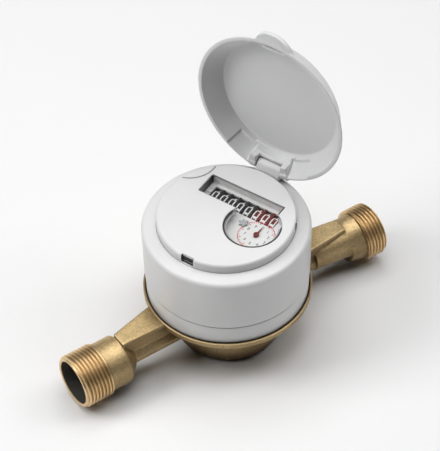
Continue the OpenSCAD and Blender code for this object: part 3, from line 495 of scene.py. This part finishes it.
def tube(inner, outer, low, high):
    """Upright wall between two outlines of the same number of points."""
    corners = ((inner, low), (outer, low), (outer, high), (inner, high))
    return grid_mesh([[(x, y, z) for x, y in loop] for loop, z in corners], wrap_rows=True)


def baked(scratch):
    """Mesh of a passing object, which is removed again."""
    bpy.context.scene.collection.objects.link(scratch)
    graph = bpy.context.evaluated_depsgraph_get()
    made = bpy.data.meshes.new_from_object(scratch.evaluated_get(graph))
    bpy.data.objects.remove(scratch)
    return made


def with_modifiers(mesh, modifiers):
    """The mesh after a list of (kind, settings)."""
    scratch = bpy.data.objects.new("scratch", mesh)
    for kind, settings in modifiers:
        modifier = scratch.modifiers.new(kind.lower(), kind)
        for key, value in settings.items():
            setattr(modifier, key, value)
    return baked(scratch)


def bevelled(mesh, width, angle):
    """The mesh with the edges over an angle, in degrees, rounded."""
    return with_modifiers(mesh, [("BEVEL", {
        "width": width, "segments": 3, "limit_method": "ANGLE", "angle_limit": math.radians(angle)})])


def softened(mesh, voxel, rounds, triangles):
    """The mesh with the soft edges of a casting or moulding, thinned to a count of triangles."""
    fine = with_modifiers(mesh, [
        ("REMESH", {"mode": "VOXEL", "voxel_size": voxel * MM}),
        ("SMOOTH", {"factor": 0.5, "iterations": rounds}),
    ])
    count = sum(len(face.vertices) - 2 for face in fine.polygons)
    return with_modifiers(fine, [("DECIMATE", {"ratio": min(1.0, triangles / count)})])


JOIN_WITHIN = 2e-6
SOFT_SHARP = 60.0
# Height of a figure as a share of the font's size
CAPITAL_SHARE = 0.7


def cad_copy(node):
    """Copy of a CAD node's mesh with its doubled points joined."""
    mesh = NODES[node].data.copy()
    edit = bmesh.new()
    edit.from_mesh(mesh)
    bmesh.ops.remove_doubles(edit, verts=edit.verts, dist=JOIN_WITHIN)
    edit.to_mesh(mesh)
    edit.free()
    return mesh


def text_mesh(words, height):
    """Flat outline of a few characters, centred, as a mesh."""
    curve = bpy.data.curves.new("words", "FONT")
    curve.body = words
    curve.size = height / CAPITAL_SHARE
    curve.align_x = "CENTER"
    curve.align_y = "CENTER"
    return baked(bpy.data.objects.new("words", curve))


def joined(meshes):
    """One mesh of several."""
    edit = bmesh.new()
    for mesh in meshes:
        edit.from_mesh(mesh)
    made = bpy.data.meshes.new("joined")
    edit.to_mesh(made)
    edit.free()
    return made


# Cast body, flange rim and pipe threads

CAST_VOXEL, CAST_ROUNDS, CAST_TRIANGLES = 0.4, 4, 190000
# The casting is drawn in where the threads and the flange rim are pieces of their own
THREAD_FROM_X, THREAD_FROM_R, THREAD_CORE_R, MOUTH_BACK, END_TOUCH = 72.0, 13.0, 11.85, 0.4, 0.01
RIM_FROM_R, RIM_FROM_Z, RIM_TOP_FROM_Z, RIM_WITHIN_X = 38.4, 27.0, 29.0, 45.0
RIM_SHRINK, RIM_DROP = 0.995, 0.25


def cast_body():
    mesh = cad_copy("meter_body")
    for vertex in mesh.vertices:
        x, y, z = (c / MM for c in vertex.co)
        pipe = math.hypot(y, z - AXIS_Z)
        end = x < INLET_THREAD[0] + END_TOUCH or x > OUTLET_THREAD[1] - END_TOUCH
        if abs(x) > THREAD_FROM_X and (pipe > THREAD_FROM_R or end and pipe > THREAD_CORE_R):
            scale = THREAD_CORE_R / pipe
            vertex.co.y = y * scale * MM
            vertex.co.z = (AXIS_Z + (z - AXIS_Z) * scale) * MM
        if end:
            vertex.co.x -= math.copysign(MOUTH_BACK * MM, x)
        if math.hypot(x, y) > RIM_FROM_R and z > RIM_FROM_Z and abs(x) < RIM_WITHIN_X:
            vertex.co.x *= RIM_SHRINK
            vertex.co.y *= RIM_SHRINK
            if z > RIM_TOP_FROM_Z:
                vertex.co.z -= RIM_DROP * MM
    fine = softened(mesh, CAST_VOXEL, CAST_ROUNDS, CAST_TRIANGLES)
    metre_piece("body_casting", fine, "body", "cast_brass", ["meter_body"], SOFT_SHARP)


def flange_rim():
    outside = [(39.2, 26.9), (39.6, 26.98), (39.75, 27.15), (39.8, 27.4), (39.8, 29.35), (39.74, 29.62)]
    top = [(39.5, 29.78), (39.0, 29.78), (38.74, 29.68), (38.62, 29.45)]
    inside = [(38.6, 27.84), (38.9, 27.6), (39.0, 27.0)]
    piece("flange_rim", lathe(outside + top + inside), "body", "cast_brass")


THREAD_PITCH, THREAD_ROOT_R, THREAD_FOOT_R = 1.814, 12.06, 11.96
THREAD_SEGMENTS, THREAD_STEPS, THREAD_SHARP = 220, 14, 50.0
# Flat share of a root, length of the run-in, height of the blank before it, and the mouth's chamfer
THREAD_FLAT, THREAD_RUN_IN, THREAD_BLANK, THREAD_CHAMFER = 0.13, 1.0, 0.85, 1.15
MOUTH_BREAK, MOUTH_BREAK_DEPTH, SLEEVE_DEPTH, SLEEVE_GAP = 0.25, 0.22, 9.0, 0.02
BORE_SHADE_FROM, BORE_SHADE_TO, BORE_SHADE_OUT, BORE_SHADE_IN = 0.5, 8.8, 0.04, 0.12


def thread_height(phase):
    """Rounded pipe thread: 0 at the root, 1 at the crest."""
    ramp = min(1.0, max(0.0, (1 - abs(2 * phase - 1) - THREAD_FLAT) / (1 - 2 * THREAD_FLAT)))
    return ramp * ramp * (3 - 2 * ramp) * 0.5 + ramp * 0.5


def pipe_thread(name, inner_x, mouth_x):
    """Sleeve with a cut thread outside and a chamfered mouth, and a dark sheet inside its bore as painted
    shade.
    """
    away = math.copysign(1.0, mouth_x)
    length = abs(mouth_x - inner_x)
    count = int(length / (THREAD_PITCH / THREAD_STEPS))
    turns = [TAU * j / THREAD_SEGMENTS for j in range(THREAD_SEGMENTS)]

    def ring(x, radii):
        return [(x, r * math.cos(t), AXIS_Z + r * math.sin(t)) for r, t in zip(radii, turns)]

    def plain(depth, radius):
        return ring(mouth_x - away * depth, [radius] * THREAD_SEGMENTS)

    rows = [plain(length, MOUTH_R), plain(length, THREAD_FOOT_R)]
    for i in range(count + 1):
        along = length * i / count
        fade = min(1.0, along / THREAD_RUN_IN)
        chamfer = THREAD_R - THREAD_CHAMFER + (length - along)
        radii = []
        for j in range(THREAD_SEGMENTS):
            height = thread_height((along / THREAD_PITCH - away * j / THREAD_SEGMENTS) % 1.0)
            share = height * fade + THREAD_BLANK * (1 - fade)
            radii.append(min(THREAD_ROOT_R + (THREAD_R - THREAD_ROOT_R) * share, chamfer))
        rows.append(ring(inner_x + away * along, radii))
    rows.append(plain(0, MOUTH_R + MOUTH_BREAK))
    rows.append(plain(MOUTH_BREAK_DEPTH, MOUTH_R - SLEEVE_GAP))
    rows.append(plain(SLEEVE_DEPTH, MOUTH_R - SLEEVE_GAP))
    mesh = grid_mesh(rows, wrap_rows=True)
    if away > 0:
        mesh.flip_normals()
    piece(name + "_thread", mesh, "body", "turned_brass", sharp=THREAD_SHARP)
    # Painted shade: dark sheet inside the bore.
    outer, inner = MOUTH_R - BORE_SHADE_OUT, MOUTH_R - BORE_SHADE_IN
    section = ((BORE_SHADE_FROM, outer), (BORE_SHADE_FROM, inner), (BORE_SHADE_TO, inner), (BORE_SHADE_TO, outer))
    bore_shade = grid_mesh([plain(depth, radius) for depth, radius in section], wrap_rows=True)
    if away < 0:
        bore_shade.flip_normals()
    piece(name + "_bore", bore_shade, "body", "bore_dark", sharp=THREAD_SHARP)


# White head: collar ring, shell and hinge knuckle

# Width of a rounded edge, and the angle in degrees over which an edge is rounded
KNUCKLE_ROUND, TAB_ROUND, NIB_ROUND = (0.35, 40), (0.5, 50), (0.3, 30)


def collar_ring():
    outside = [(34.2, 27.95), (37.8, 27.85), (38.08, 27.92), (38.2, 28.15), (38.5, 39.5), (38.42, 39.75)]
    inside = [(38.15, 39.85), (36.3, 39.85), (36.22, 39.7), (36.22, 30.85), (34.2, 30.75)]
    mesh = lathe(outside + inside)
    piece("collar_ring_fine", mesh, "body", "white_plastic", ["collar_ring"])


def head_shell():
    foot = [(36.85, 40.25), (38.3, 40.22), (38.6, 40.32), (38.76, 40.55), (38.8, 40.9)]
    edge = arc((37.1, 67.3), 2.2, 0, 84, 10)
    shoulder = [(36.4, 69.66), (33.0, 70.4), (32.6, 70.48), (32.4, 70.44), (32.34, 70.2)]
    inside = [(32.34, 67.52), (36.2, 67.52), (37.0, 67.2), (37.25, 66.4)]
    profile = foot + edge + shoulder + inside
    piece("head_shell_fine", lathe(profile), "head", "white_plastic", ["head_shell"])


def hinge_knuckle():
    barrel = arc((HINGE_V, HINGE_Z), BARREL_R, -12, 150, 18)
    outline = [(33.6, 68.4), (37.4, 68.4)] + barrel + [(32.75, 70.8), (32.75, 69.2)]
    low = [(-KNUCKLE_HALF, v, z) for v, z in outline]
    high = [(KNUCKLE_HALF, v, z) for v, z in outline]
    count = len(outline)
    mesh = bpy.data.meshes.new("knuckle")
    sides = [(i, (i + 1) % count, (i + 1) % count + count, i + count) for i in range(count)]
    mesh.from_pydata(low + high, [], sides + [tuple(reversed(range(count))), tuple(range(count, 2 * count))])
    fine = bevelled(mesh, *KNUCKLE_ROUND)
    piece("hinge_knuckle", fine, "head", "white_plastic", place=HEAD)


# Dial cover and lid

MOULD_ROUNDS, MOULD_TRIANGLES = 3, 150000
COVER_VOXEL, LID_VOXEL = 0.26, 0.3


def moulded(mesh, node, body, slot, voxel):
    """CAD shape with its edges rounded as a moulding's are."""
    fine = softened(mesh, voxel, MOULD_ROUNDS, MOULD_TRIANGLES)
    metre_piece(node + "_fine", fine, body, slot, [node], SOFT_SHARP)


# Fillet inside the shut lid and the crease that takes its place, as (radius, height)
LID_FLOOR_END = Vector((28.585, 79.4))
LID_CREASE = Vector((30.7, 79.4))
LID_WALL_END = Vector((31.89, 77.652))
LID_FILLET_R, LID_FILLET_TURN, LID_FILLET_TOUCH = 4.0, math.radians(55.75), 0.06


def creased_lid():
    """The lid with the points of its inner fillet moved out to the crease of wall and floor."""
    mesh = cad_copy("lid")
    closing = LID.inverted()
    centre = LID_FLOOR_END - Vector((0, LID_FILLET_R))
    for vertex in mesh.vertices:
        place = closing @ (vertex.co / MM)
        radius = math.hypot(place.x, place.y)
        spoke = Vector((radius, place.z)) - centre
        turn = math.atan2(spoke.x, spoke.y)
        if abs(spoke.length - LID_FILLET_R) < LID_FILLET_TOUCH and 0.0 < turn < LID_FILLET_TURN:
            share = 2 * turn / LID_FILLET_TURN
            end, share = (LID_FLOOR_END, share) if share < 1 else (LID_WALL_END, 2 - share)
            flat = end.lerp(LID_CREASE, share)
            vertex.co = LID @ Vector((place.x * flat.x / radius, place.y * flat.x / radius, flat.y)) * MM
    return mesh


TAB_TIP, TAB_R, TAB_OFF, TAB_ROOT_R, TAB_RUN_OUT = 43.5, 10.4, 0.3, 37.3, 0.4
TAB_LOW, TAB_HIGH = 70.3, 72.4


def thumb_tab():
    """Thumb tab with the long run-out to its right."""
    circle = arc((TAB_OFF, TAB_R - TAB_TIP), TAB_R, 180, 360, 60)
    tip = [point for point in circle if math.hypot(*point) > TAB_ROOT_R + TAB_RUN_OUT]
    start, end = (math.degrees(math.atan2(point[1], point[0])) for point in (tip[0], tip[-1]))
    mesh = plate([tip + arc((0, 0), TAB_ROOT_R, end, start, 24)], TAB_LOW, TAB_HIGH)
    piece("thumb_tab", bevelled(mesh, *TAB_ROUND), "lid", "lid_plastic", place=LID)


NIB_HALF, NIB_TIP_R, NIB_NECK_R, NIB_LOW, NIB_HIGH = 6.0, 33.1, 34.7, 72.0, 74.0
NIB_SHADOW_LEFT, NIB_SHADOW_RIGHT, NIB_SHADOW_ROOT_R, NIB_SHADOW_LOW = -5.7, 9.0, 35.6, 71.9


def latch_nib():
    """Catch inside the lid's rim, its lip in a whiter plastic than the lid's as painted light, with a grey
    box behind the lip as the rim's painted shadow.
    """
    lip = box_mesh((-NIB_HALF, -NIB_NECK_R, NIB_LOW), (NIB_HALF, -NIB_TIP_R, NIB_HIGH))
    # Painted light: the lip is whiter than the lid it belongs to.
    piece("latch_nib", bevelled(lip, *NIB_ROUND), "lid", "print_white", place=LID)
    # Painted shadow of the rim: grey box behind the lip.
    nib_shadow = box_mesh((NIB_SHADOW_LEFT, -NIB_SHADOW_ROOT_R, NIB_SHADOW_LOW), (NIB_SHADOW_RIGHT, -NIB_NECK_R, NIB_HIGH))
    piece("latch_nib_shadow", nib_shadow, "lid", "mid_grey", place=LID)


COVER_R = 32.3
LATCH_HALF, LATCH_LOW, LATCH_STEP, LATCH_SIDE_TOP = 3.2, 71.2, 73.9, 74.7
LATCH_FRONT, LATCH_BACK = 0.3 - COVER_R, 1.5 - COVER_R
SHADOW_SHEET, LAP = 0.12, 0.02
BRIDGE_HALF, BRIDGE_LOW, BRIDGE_DEPTH, BRIDGE_BELOW = 3.5, 73.7, 1.8, 0.005
NOTCH_TURN, NOTCH_HALF, NOTCH_LOW, NOTCH_HIGH = math.radians(23), 0.5, 71.2, 74.6
NOTCH_IN, NOTCH_PROUD = 0.9, 0.3
SCALLOP_TURN, SCALLOP_R, SCALLOP_REACH, SCALLOP_SPAN = 148.0, 13.6, 40.6, 40.0
SCALLOP_LOW, SCALLOP_HIGH, SCALLOP_INNER, SCALLOP_OUTER = 74.6, 75.0, 0.75, 0.2


def cover_shadows():
    """Painted shadow: dark sheets in the latch slot and the side notch."""
    half, front, back = LATCH_HALF, LATCH_FRONT, LATCH_BACK
    # Painted shadow in the latch slot: dark sheets on its back, floor and sides.
    shadow_sheets = [
        box_mesh((-half, back - SHADOW_SHEET, LATCH_LOW), (half, back + LAP, LATCH_STEP - LAP)),
        box_mesh((-half, front, LATCH_LOW - LAP), (half, back, LATCH_LOW + SHADOW_SHEET)),
        box_mesh((-half - LAP, front, LATCH_LOW), (SHADOW_SHEET - half, back, LATCH_SIDE_TOP)),
        box_mesh((half - SHADOW_SHEET, front, LATCH_LOW), (half + LAP, back, LATCH_SIDE_TOP)),
    ]
    # Painted shadow in the side notch.
    notch = box_mesh((COVER_R - NOTCH_IN, -NOTCH_HALF, NOTCH_LOW),
                     (COVER_R + NOTCH_PROUD, NOTCH_HALF, NOTCH_HIGH))
    notch.transform(Matrix.Rotation(NOTCH_TURN, 4, "Z"))
    piece("cover_shadows", joined(shadow_sheets + [notch]), "head", "well_dark", place=HEAD)


def latch_bridge():
    """Cover above the latch slot."""
    step = box_mesh((-BRIDGE_HALF, LATCH_BACK, BRIDGE_LOW),
                    (BRIDGE_HALF, LATCH_BACK + BRIDGE_DEPTH, COVER_TOP - BRIDGE_BELOW))
    piece("latch_bridge", step, "head", "white_plastic", place=HEAD)


def scallop_line():
    """Painted shade: thin dark line along the foot of the thumb scallop, where its wall lies in shade."""
    turn = math.radians(SCALLOP_TURN)
    centre = (SCALLOP_REACH * math.cos(turn), SCALLOP_REACH * math.sin(turn))
    middle = SCALLOP_TURN + 180
    inner, outer = (arc(centre, SCALLOP_R - inset, middle - SCALLOP_SPAN, middle + SCALLOP_SPAN, 40)
                    for inset in (SCALLOP_INNER, SCALLOP_OUTER))
    # Painted shade along the scallop's wall.
    mesh = plate([outer + inner[::-1]], SCALLOP_LOW, SCALLOP_HIGH)
    piece("scallop_line", mesh, "head", "line_grey", place=HEAD)


# Reading window, drums and dial

WINDOW_CORNER = 0.4
WELL_LOW, WELL_TOP, WELL_GAP, WELL_OUT = FACE_TOP + 0.05, 73.3, 0.02, 0.7
END_THICKNESS, END_TOP = 0.3, COVER_TOP - 0.25
EDGE_WIDTH, EDGE_FROM, EDGE_TO, EDGE_LOW, EDGE_TOP = 0.55, 13.2, 18.3, COVER_TOP - 0.5, COVER_TOP - 0.12
LINE_IN, LINE_OUT, LINE_LOW, LINE_TOP = -0.3, 0.01, COVER_TOP - 0.6, COVER_TOP - 0.2
# Name, width, top and material of the rings round the dial's round part, and the turns they span
WINDOW_RINGS = (
    ("window_ring", 0.75, COVER_TOP - 0.12, "well_dark"),
    ("window_ring_inner", 1.7, 73.9, "mid_grey"),
)
RING_HEIGHT, RING_START, RING_END = 0.4, 166, 388
LENS_GAP, LENS_LOW, LENS_TOP = 0.05, 71.5, 72.3
FACE_R, FACE_THICKNESS, ARBOR_HOLE_R = 29.7, 1.0, 0.9
SLOT_LOW, SLOT_HIGH = 7.8, 16.7
BAR_HALF, BAR_LAP, BAR_LOW, BAR_TOP = 0.52, 0.1, 69.66, 69.9


def window_outline(grow):
    """Slot for the drums joined to the round part, moved outwards by grow."""
    (cx, cy), radius = WINDOW["centre"], WINDOW["radius"] + grow
    left, right = WINDOW["left"] - grow, WINDOW["right"] + grow
    low, high = WINDOW["low"] - grow, WINDOW["high"] + grow
    start = 180 - math.degrees(math.asin((low - cy) / radius))
    end = 360 + math.degrees(math.acos((right - cx) / radius))
    corner = WINDOW_CORNER
    return ([(left, low)] + arc((cx, cy), radius, start, end, 72)
            + arc((right - corner, high - corner), corner, 0, 90, 4)
            + arc((left + corner, high - corner), corner, 90, 180, 4))


def window_well():
    """Walls round the dial, an end wall at the left and a strip at the right end of the window's edge, both
    dark as painted shadow, and a dark line along the window's edge.
    """
    left, right, low, high = (WINDOW[side] for side in ("left", "right", "low", "high"))
    mesh = tube(window_outline(WELL_GAP), window_outline(WELL_OUT), WELL_LOW, WELL_TOP)
    piece("window_well", mesh, "head", "dial_white", place=HEAD)
    end = box_mesh((left + WELL_GAP, low, WELL_LOW), (left + END_THICKNESS, high, END_TOP))
    piece("window_end", end, "head", "well_end", place=HEAD)
    # Painted shadow: dark strip along the right end of the window's edge.
    edge = box_mesh((right - EDGE_WIDTH, EDGE_FROM, EDGE_LOW), (right + WELL_GAP, EDGE_TO, EDGE_TOP))
    piece("window_edge", edge, "head", "well_dark", place=HEAD)
    line = tube(window_outline(LINE_IN), window_outline(LINE_OUT), LINE_LOW, LINE_TOP)
    piece("window_line", line, "head", "line_grey", place=HEAD)


def window_bezels():
    # Dark and grey rings along the near edge of the dial's round part.
    for name, width, top, material in WINDOW_RINGS:
        outer, inner = (arc(WINDOW["centre"], WINDOW["radius"] - inset, RING_START, RING_END, 90)
                        for inset in (0.0, width))
        mesh = plate([outer + inner[::-1]], top - RING_HEIGHT, top)
        piece(name, mesh, "head", material, place=HEAD)


def window_lens():
    mesh = plate([window_outline(-LENS_GAP)], LENS_LOW, LENS_TOP)
    piece("window_lens_fine", mesh, "head", "clear", ["window_lens"], place=HEAD)


def dial_face():
    left = DRUM_FIRST - DRUM_PITCH / 2
    right = DRUM_FIRST + (DRUM_COUNT - 0.5) * DRUM_PITCH
    slot = [(left, SLOT_LOW), (right, SLOT_LOW), (right, SLOT_HIGH), (left, SLOT_HIGH)]
    rim = arc((0, 0), FACE_R, 0, 358, 179)
    holes = [arc(at, ARBOR_HOLE_R, 0, 340, 17) for at in (POINTER_AT, STAR_AT)]
    mesh = plate([rim, slot] + holes, FACE_TOP - FACE_THICKNESS, FACE_TOP)
    piece("dial_face_fine", mesh, "head", "dial_white", ["dial_face"], place=HEAD)


def drum_bars():
    """Thin bars of the slot between neighbouring drums."""
    for shade, first, last in (("black", 0, DRUM_BLACK), ("red", DRUM_BLACK, DRUM_COUNT - 1)):
        bars = []
        for i in range(first, last):
            at = DRUM_FIRST + (i + 0.5) * DRUM_PITCH
            bars.append(box_mesh((at - BAR_HALF, SLOT_LOW - BAR_LAP, BAR_LOW),
                                 (at + BAR_HALF, SLOT_HIGH + BAR_LAP, BAR_TOP)))
        piece("drum_bars_" + shade, joined(bars), "head", shade + "_plastic", place=HEAD)


DIGIT_HALF_W, DIGIT_HALF_H, DIGIT_BEND, DIGIT_STROKE, DIGIT_DROP = 1.12, 2.35, 0.95, 0.29, 0.25
DIGIT_STEP, DIGIT_PROUD = 0.5, 0.02
# A bend takes at most one part in BEND_PARTS of a stroke
BEND_PARTS, BEND_STEPS = 2.2, 6
# Strokes of the figures 0 to 9: the corners of each path, in millimetres, and whether it is closed
W, H = DIGIT_HALF_W, DIGIT_HALF_H
BOX = [(-W, -H), (W, -H), (W, H), (-W, H)]
DIGITS = [
    [(BOX, True)],
    [([(0.2, -H), (0.2, H), (-0.5 * W, 0.7 * H)], False)],
    [([(-W, H), (W, H), (W, 0), (-W, 0), (-W, -H), (W, -H)], False)],
    [([(-W, H), (W, H), (W, 0), (-0.5 * W, 0)], False), ([(-0.5 * W, 0), (W, 0), (W, -H), (-W, -H)], False)],
    [([(-W, H), (-W, 0), (W, 0)], False), ([(W, H), (W, -H)], False)],
    [([(W, H), (-W, H), (-W, 0), (W, 0), (W, -H), (-W, -H)], False)],
    [([(W, H), (-W, H), (-W, -H), (W, -H), (W, 0), (-W, 0)], False)],
    [([(-W, H), (W, H), (W, -H)], False)],
    [(BOX, True), ([(-W, 0), (W, 0)], False)],
    [([(W, 0), (-W, 0), (-W, H), (W, H), (W, -H), (-W, -H)], False)],
]


def rounded(corners, closed):
    """Path through corners, each cut by a curve."""
    path = []
    count = len(corners)
    for i, corner in enumerate(corners):
        here = Vector(corner)
        if not closed and i in (0, count - 1):
            path.append(here)
            continue
        before = Vector(corners[i - 1]) - here
        after = Vector(corners[(i + 1) % count]) - here
        bend = min(DIGIT_BEND, before.length / BEND_PARTS, after.length / BEND_PARTS)
        start, end = here + before.normalized() * bend, here + after.normalized() * bend
        for k in range(BEND_STEPS + 1):
            t = k / BEND_STEPS
            path.append(start * (1 - t) ** 2 + here * 2 * t * (1 - t) + end * t ** 2)
    return path


def subdivided(path, closed):
    """The same path with no step longer than DIGIT_STEP."""
    fine = []
    ends = path[1:] + path[:1] if closed else path[1:]
    for here, there in zip(path, ends):
        steps = max(1, math.ceil((there - here).length / DIGIT_STEP))
        fine += [here.lerp(there, k / steps) for k in range(steps)]
    return fine if closed else fine + path[-1:]


def ribbon(path, closed):
    """Flat band along a path."""
    count = len(path)
    sides = []
    for i, here in enumerate(path):
        before = path[i - 1] if closed or i else here
        after = path[(i + 1) % count] if closed or i < count - 1 else here
        along = (after - before).normalized()
        off = Vector((-along.y, along.x)) * DIGIT_STROKE
        sides.append([(here.x + off.x, here.y + off.y, 0), (here.x - off.x, here.y - off.y, 0)])
    return grid_mesh(sides, wrap_rows=closed, wrap_columns=False)


def drum_digits():
    """White figures 0 to 9 round each drum."""
    radius = DRUM_R + DIGIT_PROUD
    for i in range(DRUM_COUNT):
        middle = DRUM_FIRST + i * DRUM_PITCH
        ring = []
        for d, strokes in enumerate(DIGITS):
            for corners, closed in strokes:
                mesh = ribbon(subdivided(rounded(corners, closed), closed), closed)
                for vertex in mesh.vertices:
                    turn = TAU * d / 10 + (vertex.co.y - DIGIT_DROP) / DRUM_R
                    across, up = radius * math.sin(turn), radius * math.cos(turn)
                    vertex.co = (middle + vertex.co.x, DRUM_V + across, DRUM_Z + up)
                ring.append(mesh)
        piece("digits_%d" % (i + 1), joined(ring), "drum_%d" % (i + 1), "print_white", place=HEAD)


PRINT_LOW, PRINT_TOP = FACE_TOP + 0.005, FACE_TOP + 0.03
SCALE_R, SCALE_RING_R, SCALE_TICKS, SCALE_LONG_EVERY = 8.5, 8.75, 50, 5
# Inner radius and half width of long and short ticks
LONG_TICK, SHORT_TICK = (7.0, 0.16), (7.7, 0.09)
NUMBER_R, NUMBER_HEIGHT = 5.6, 1.7
UNIT_HEIGHT, UNIT_AT = 2.0, (DRUM_FIRST - 3.6, DRUM_V - 1.0)


def dial_scale():
    """Ticks and ring round the pointer, as thin print on the face."""
    px, py = POINTER_AT
    marks = []
    for i in range(SCALE_TICKS):
        turn = TAU * i / SCALE_TICKS
        inner, half = LONG_TICK if i % SCALE_LONG_EVERY == 0 else SHORT_TICK
        across = (-math.sin(turn) * half, math.cos(turn) * half)
        along = (math.cos(turn), math.sin(turn))
        box = [(px + r * along[0] + s * across[0], py + r * along[1] + s * across[1])
               for r, s in ((inner, -1), (SCALE_R, -1), (SCALE_R, 1), (inner, 1))]
        marks.append(plate([box], PRINT_LOW, PRINT_TOP))
    inside, outside = (arc(POINTER_AT, radius, 0, 356, 89) for radius in (SCALE_R, SCALE_RING_R))
    marks.append(tube(inside, outside, PRINT_LOW, PRINT_TOP))
    piece("dial_scale", joined(marks), "head", "print_red", place=HEAD)


def dial_numbers():
    """Numbers of the scale and the unit beside the drums."""
    px, py = POINTER_AT
    numbers = []
    for d in range(10):
        turn = TAU / 4 - TAU * d / 10
        mesh = text_mesh(str(d), NUMBER_HEIGHT)
        at = (px + NUMBER_R * math.cos(turn), py + NUMBER_R * math.sin(turn), PRINT_TOP)
        mesh.transform(Matrix.Translation(at))
        numbers.append(mesh)
    unit = text_mesh("m\u00b3", UNIT_HEIGHT)
    unit.transform(Matrix.Translation((*UNIT_AT, PRINT_TOP)))
    numbers.append(unit)
    piece("dial_numbers", joined(numbers), "head", "print_black", place=HEAD)


make_camera()
make_stage()
make_light()
dress_nodes()

cast_body()
flange_rim()
pipe_thread("inlet", *reversed(INLET_THREAD))
pipe_thread("outlet", *OUTLET_THREAD)
collar_ring()
head_shell()
hinge_knuckle()
moulded(cad_copy("dial_cover"), "dial_cover", "head", "white_plastic", COVER_VOXEL)
thumb_tab()
latch_nib()
moulded(creased_lid(), "lid", "lid", "lid_plastic", LID_VOXEL)
cover_shadows()
latch_bridge()
scallop_line()
window_well()
window_bezels()
window_lens()
dial_face()
drum_bars()
drum_digits()
dial_scale()
dial_numbers()
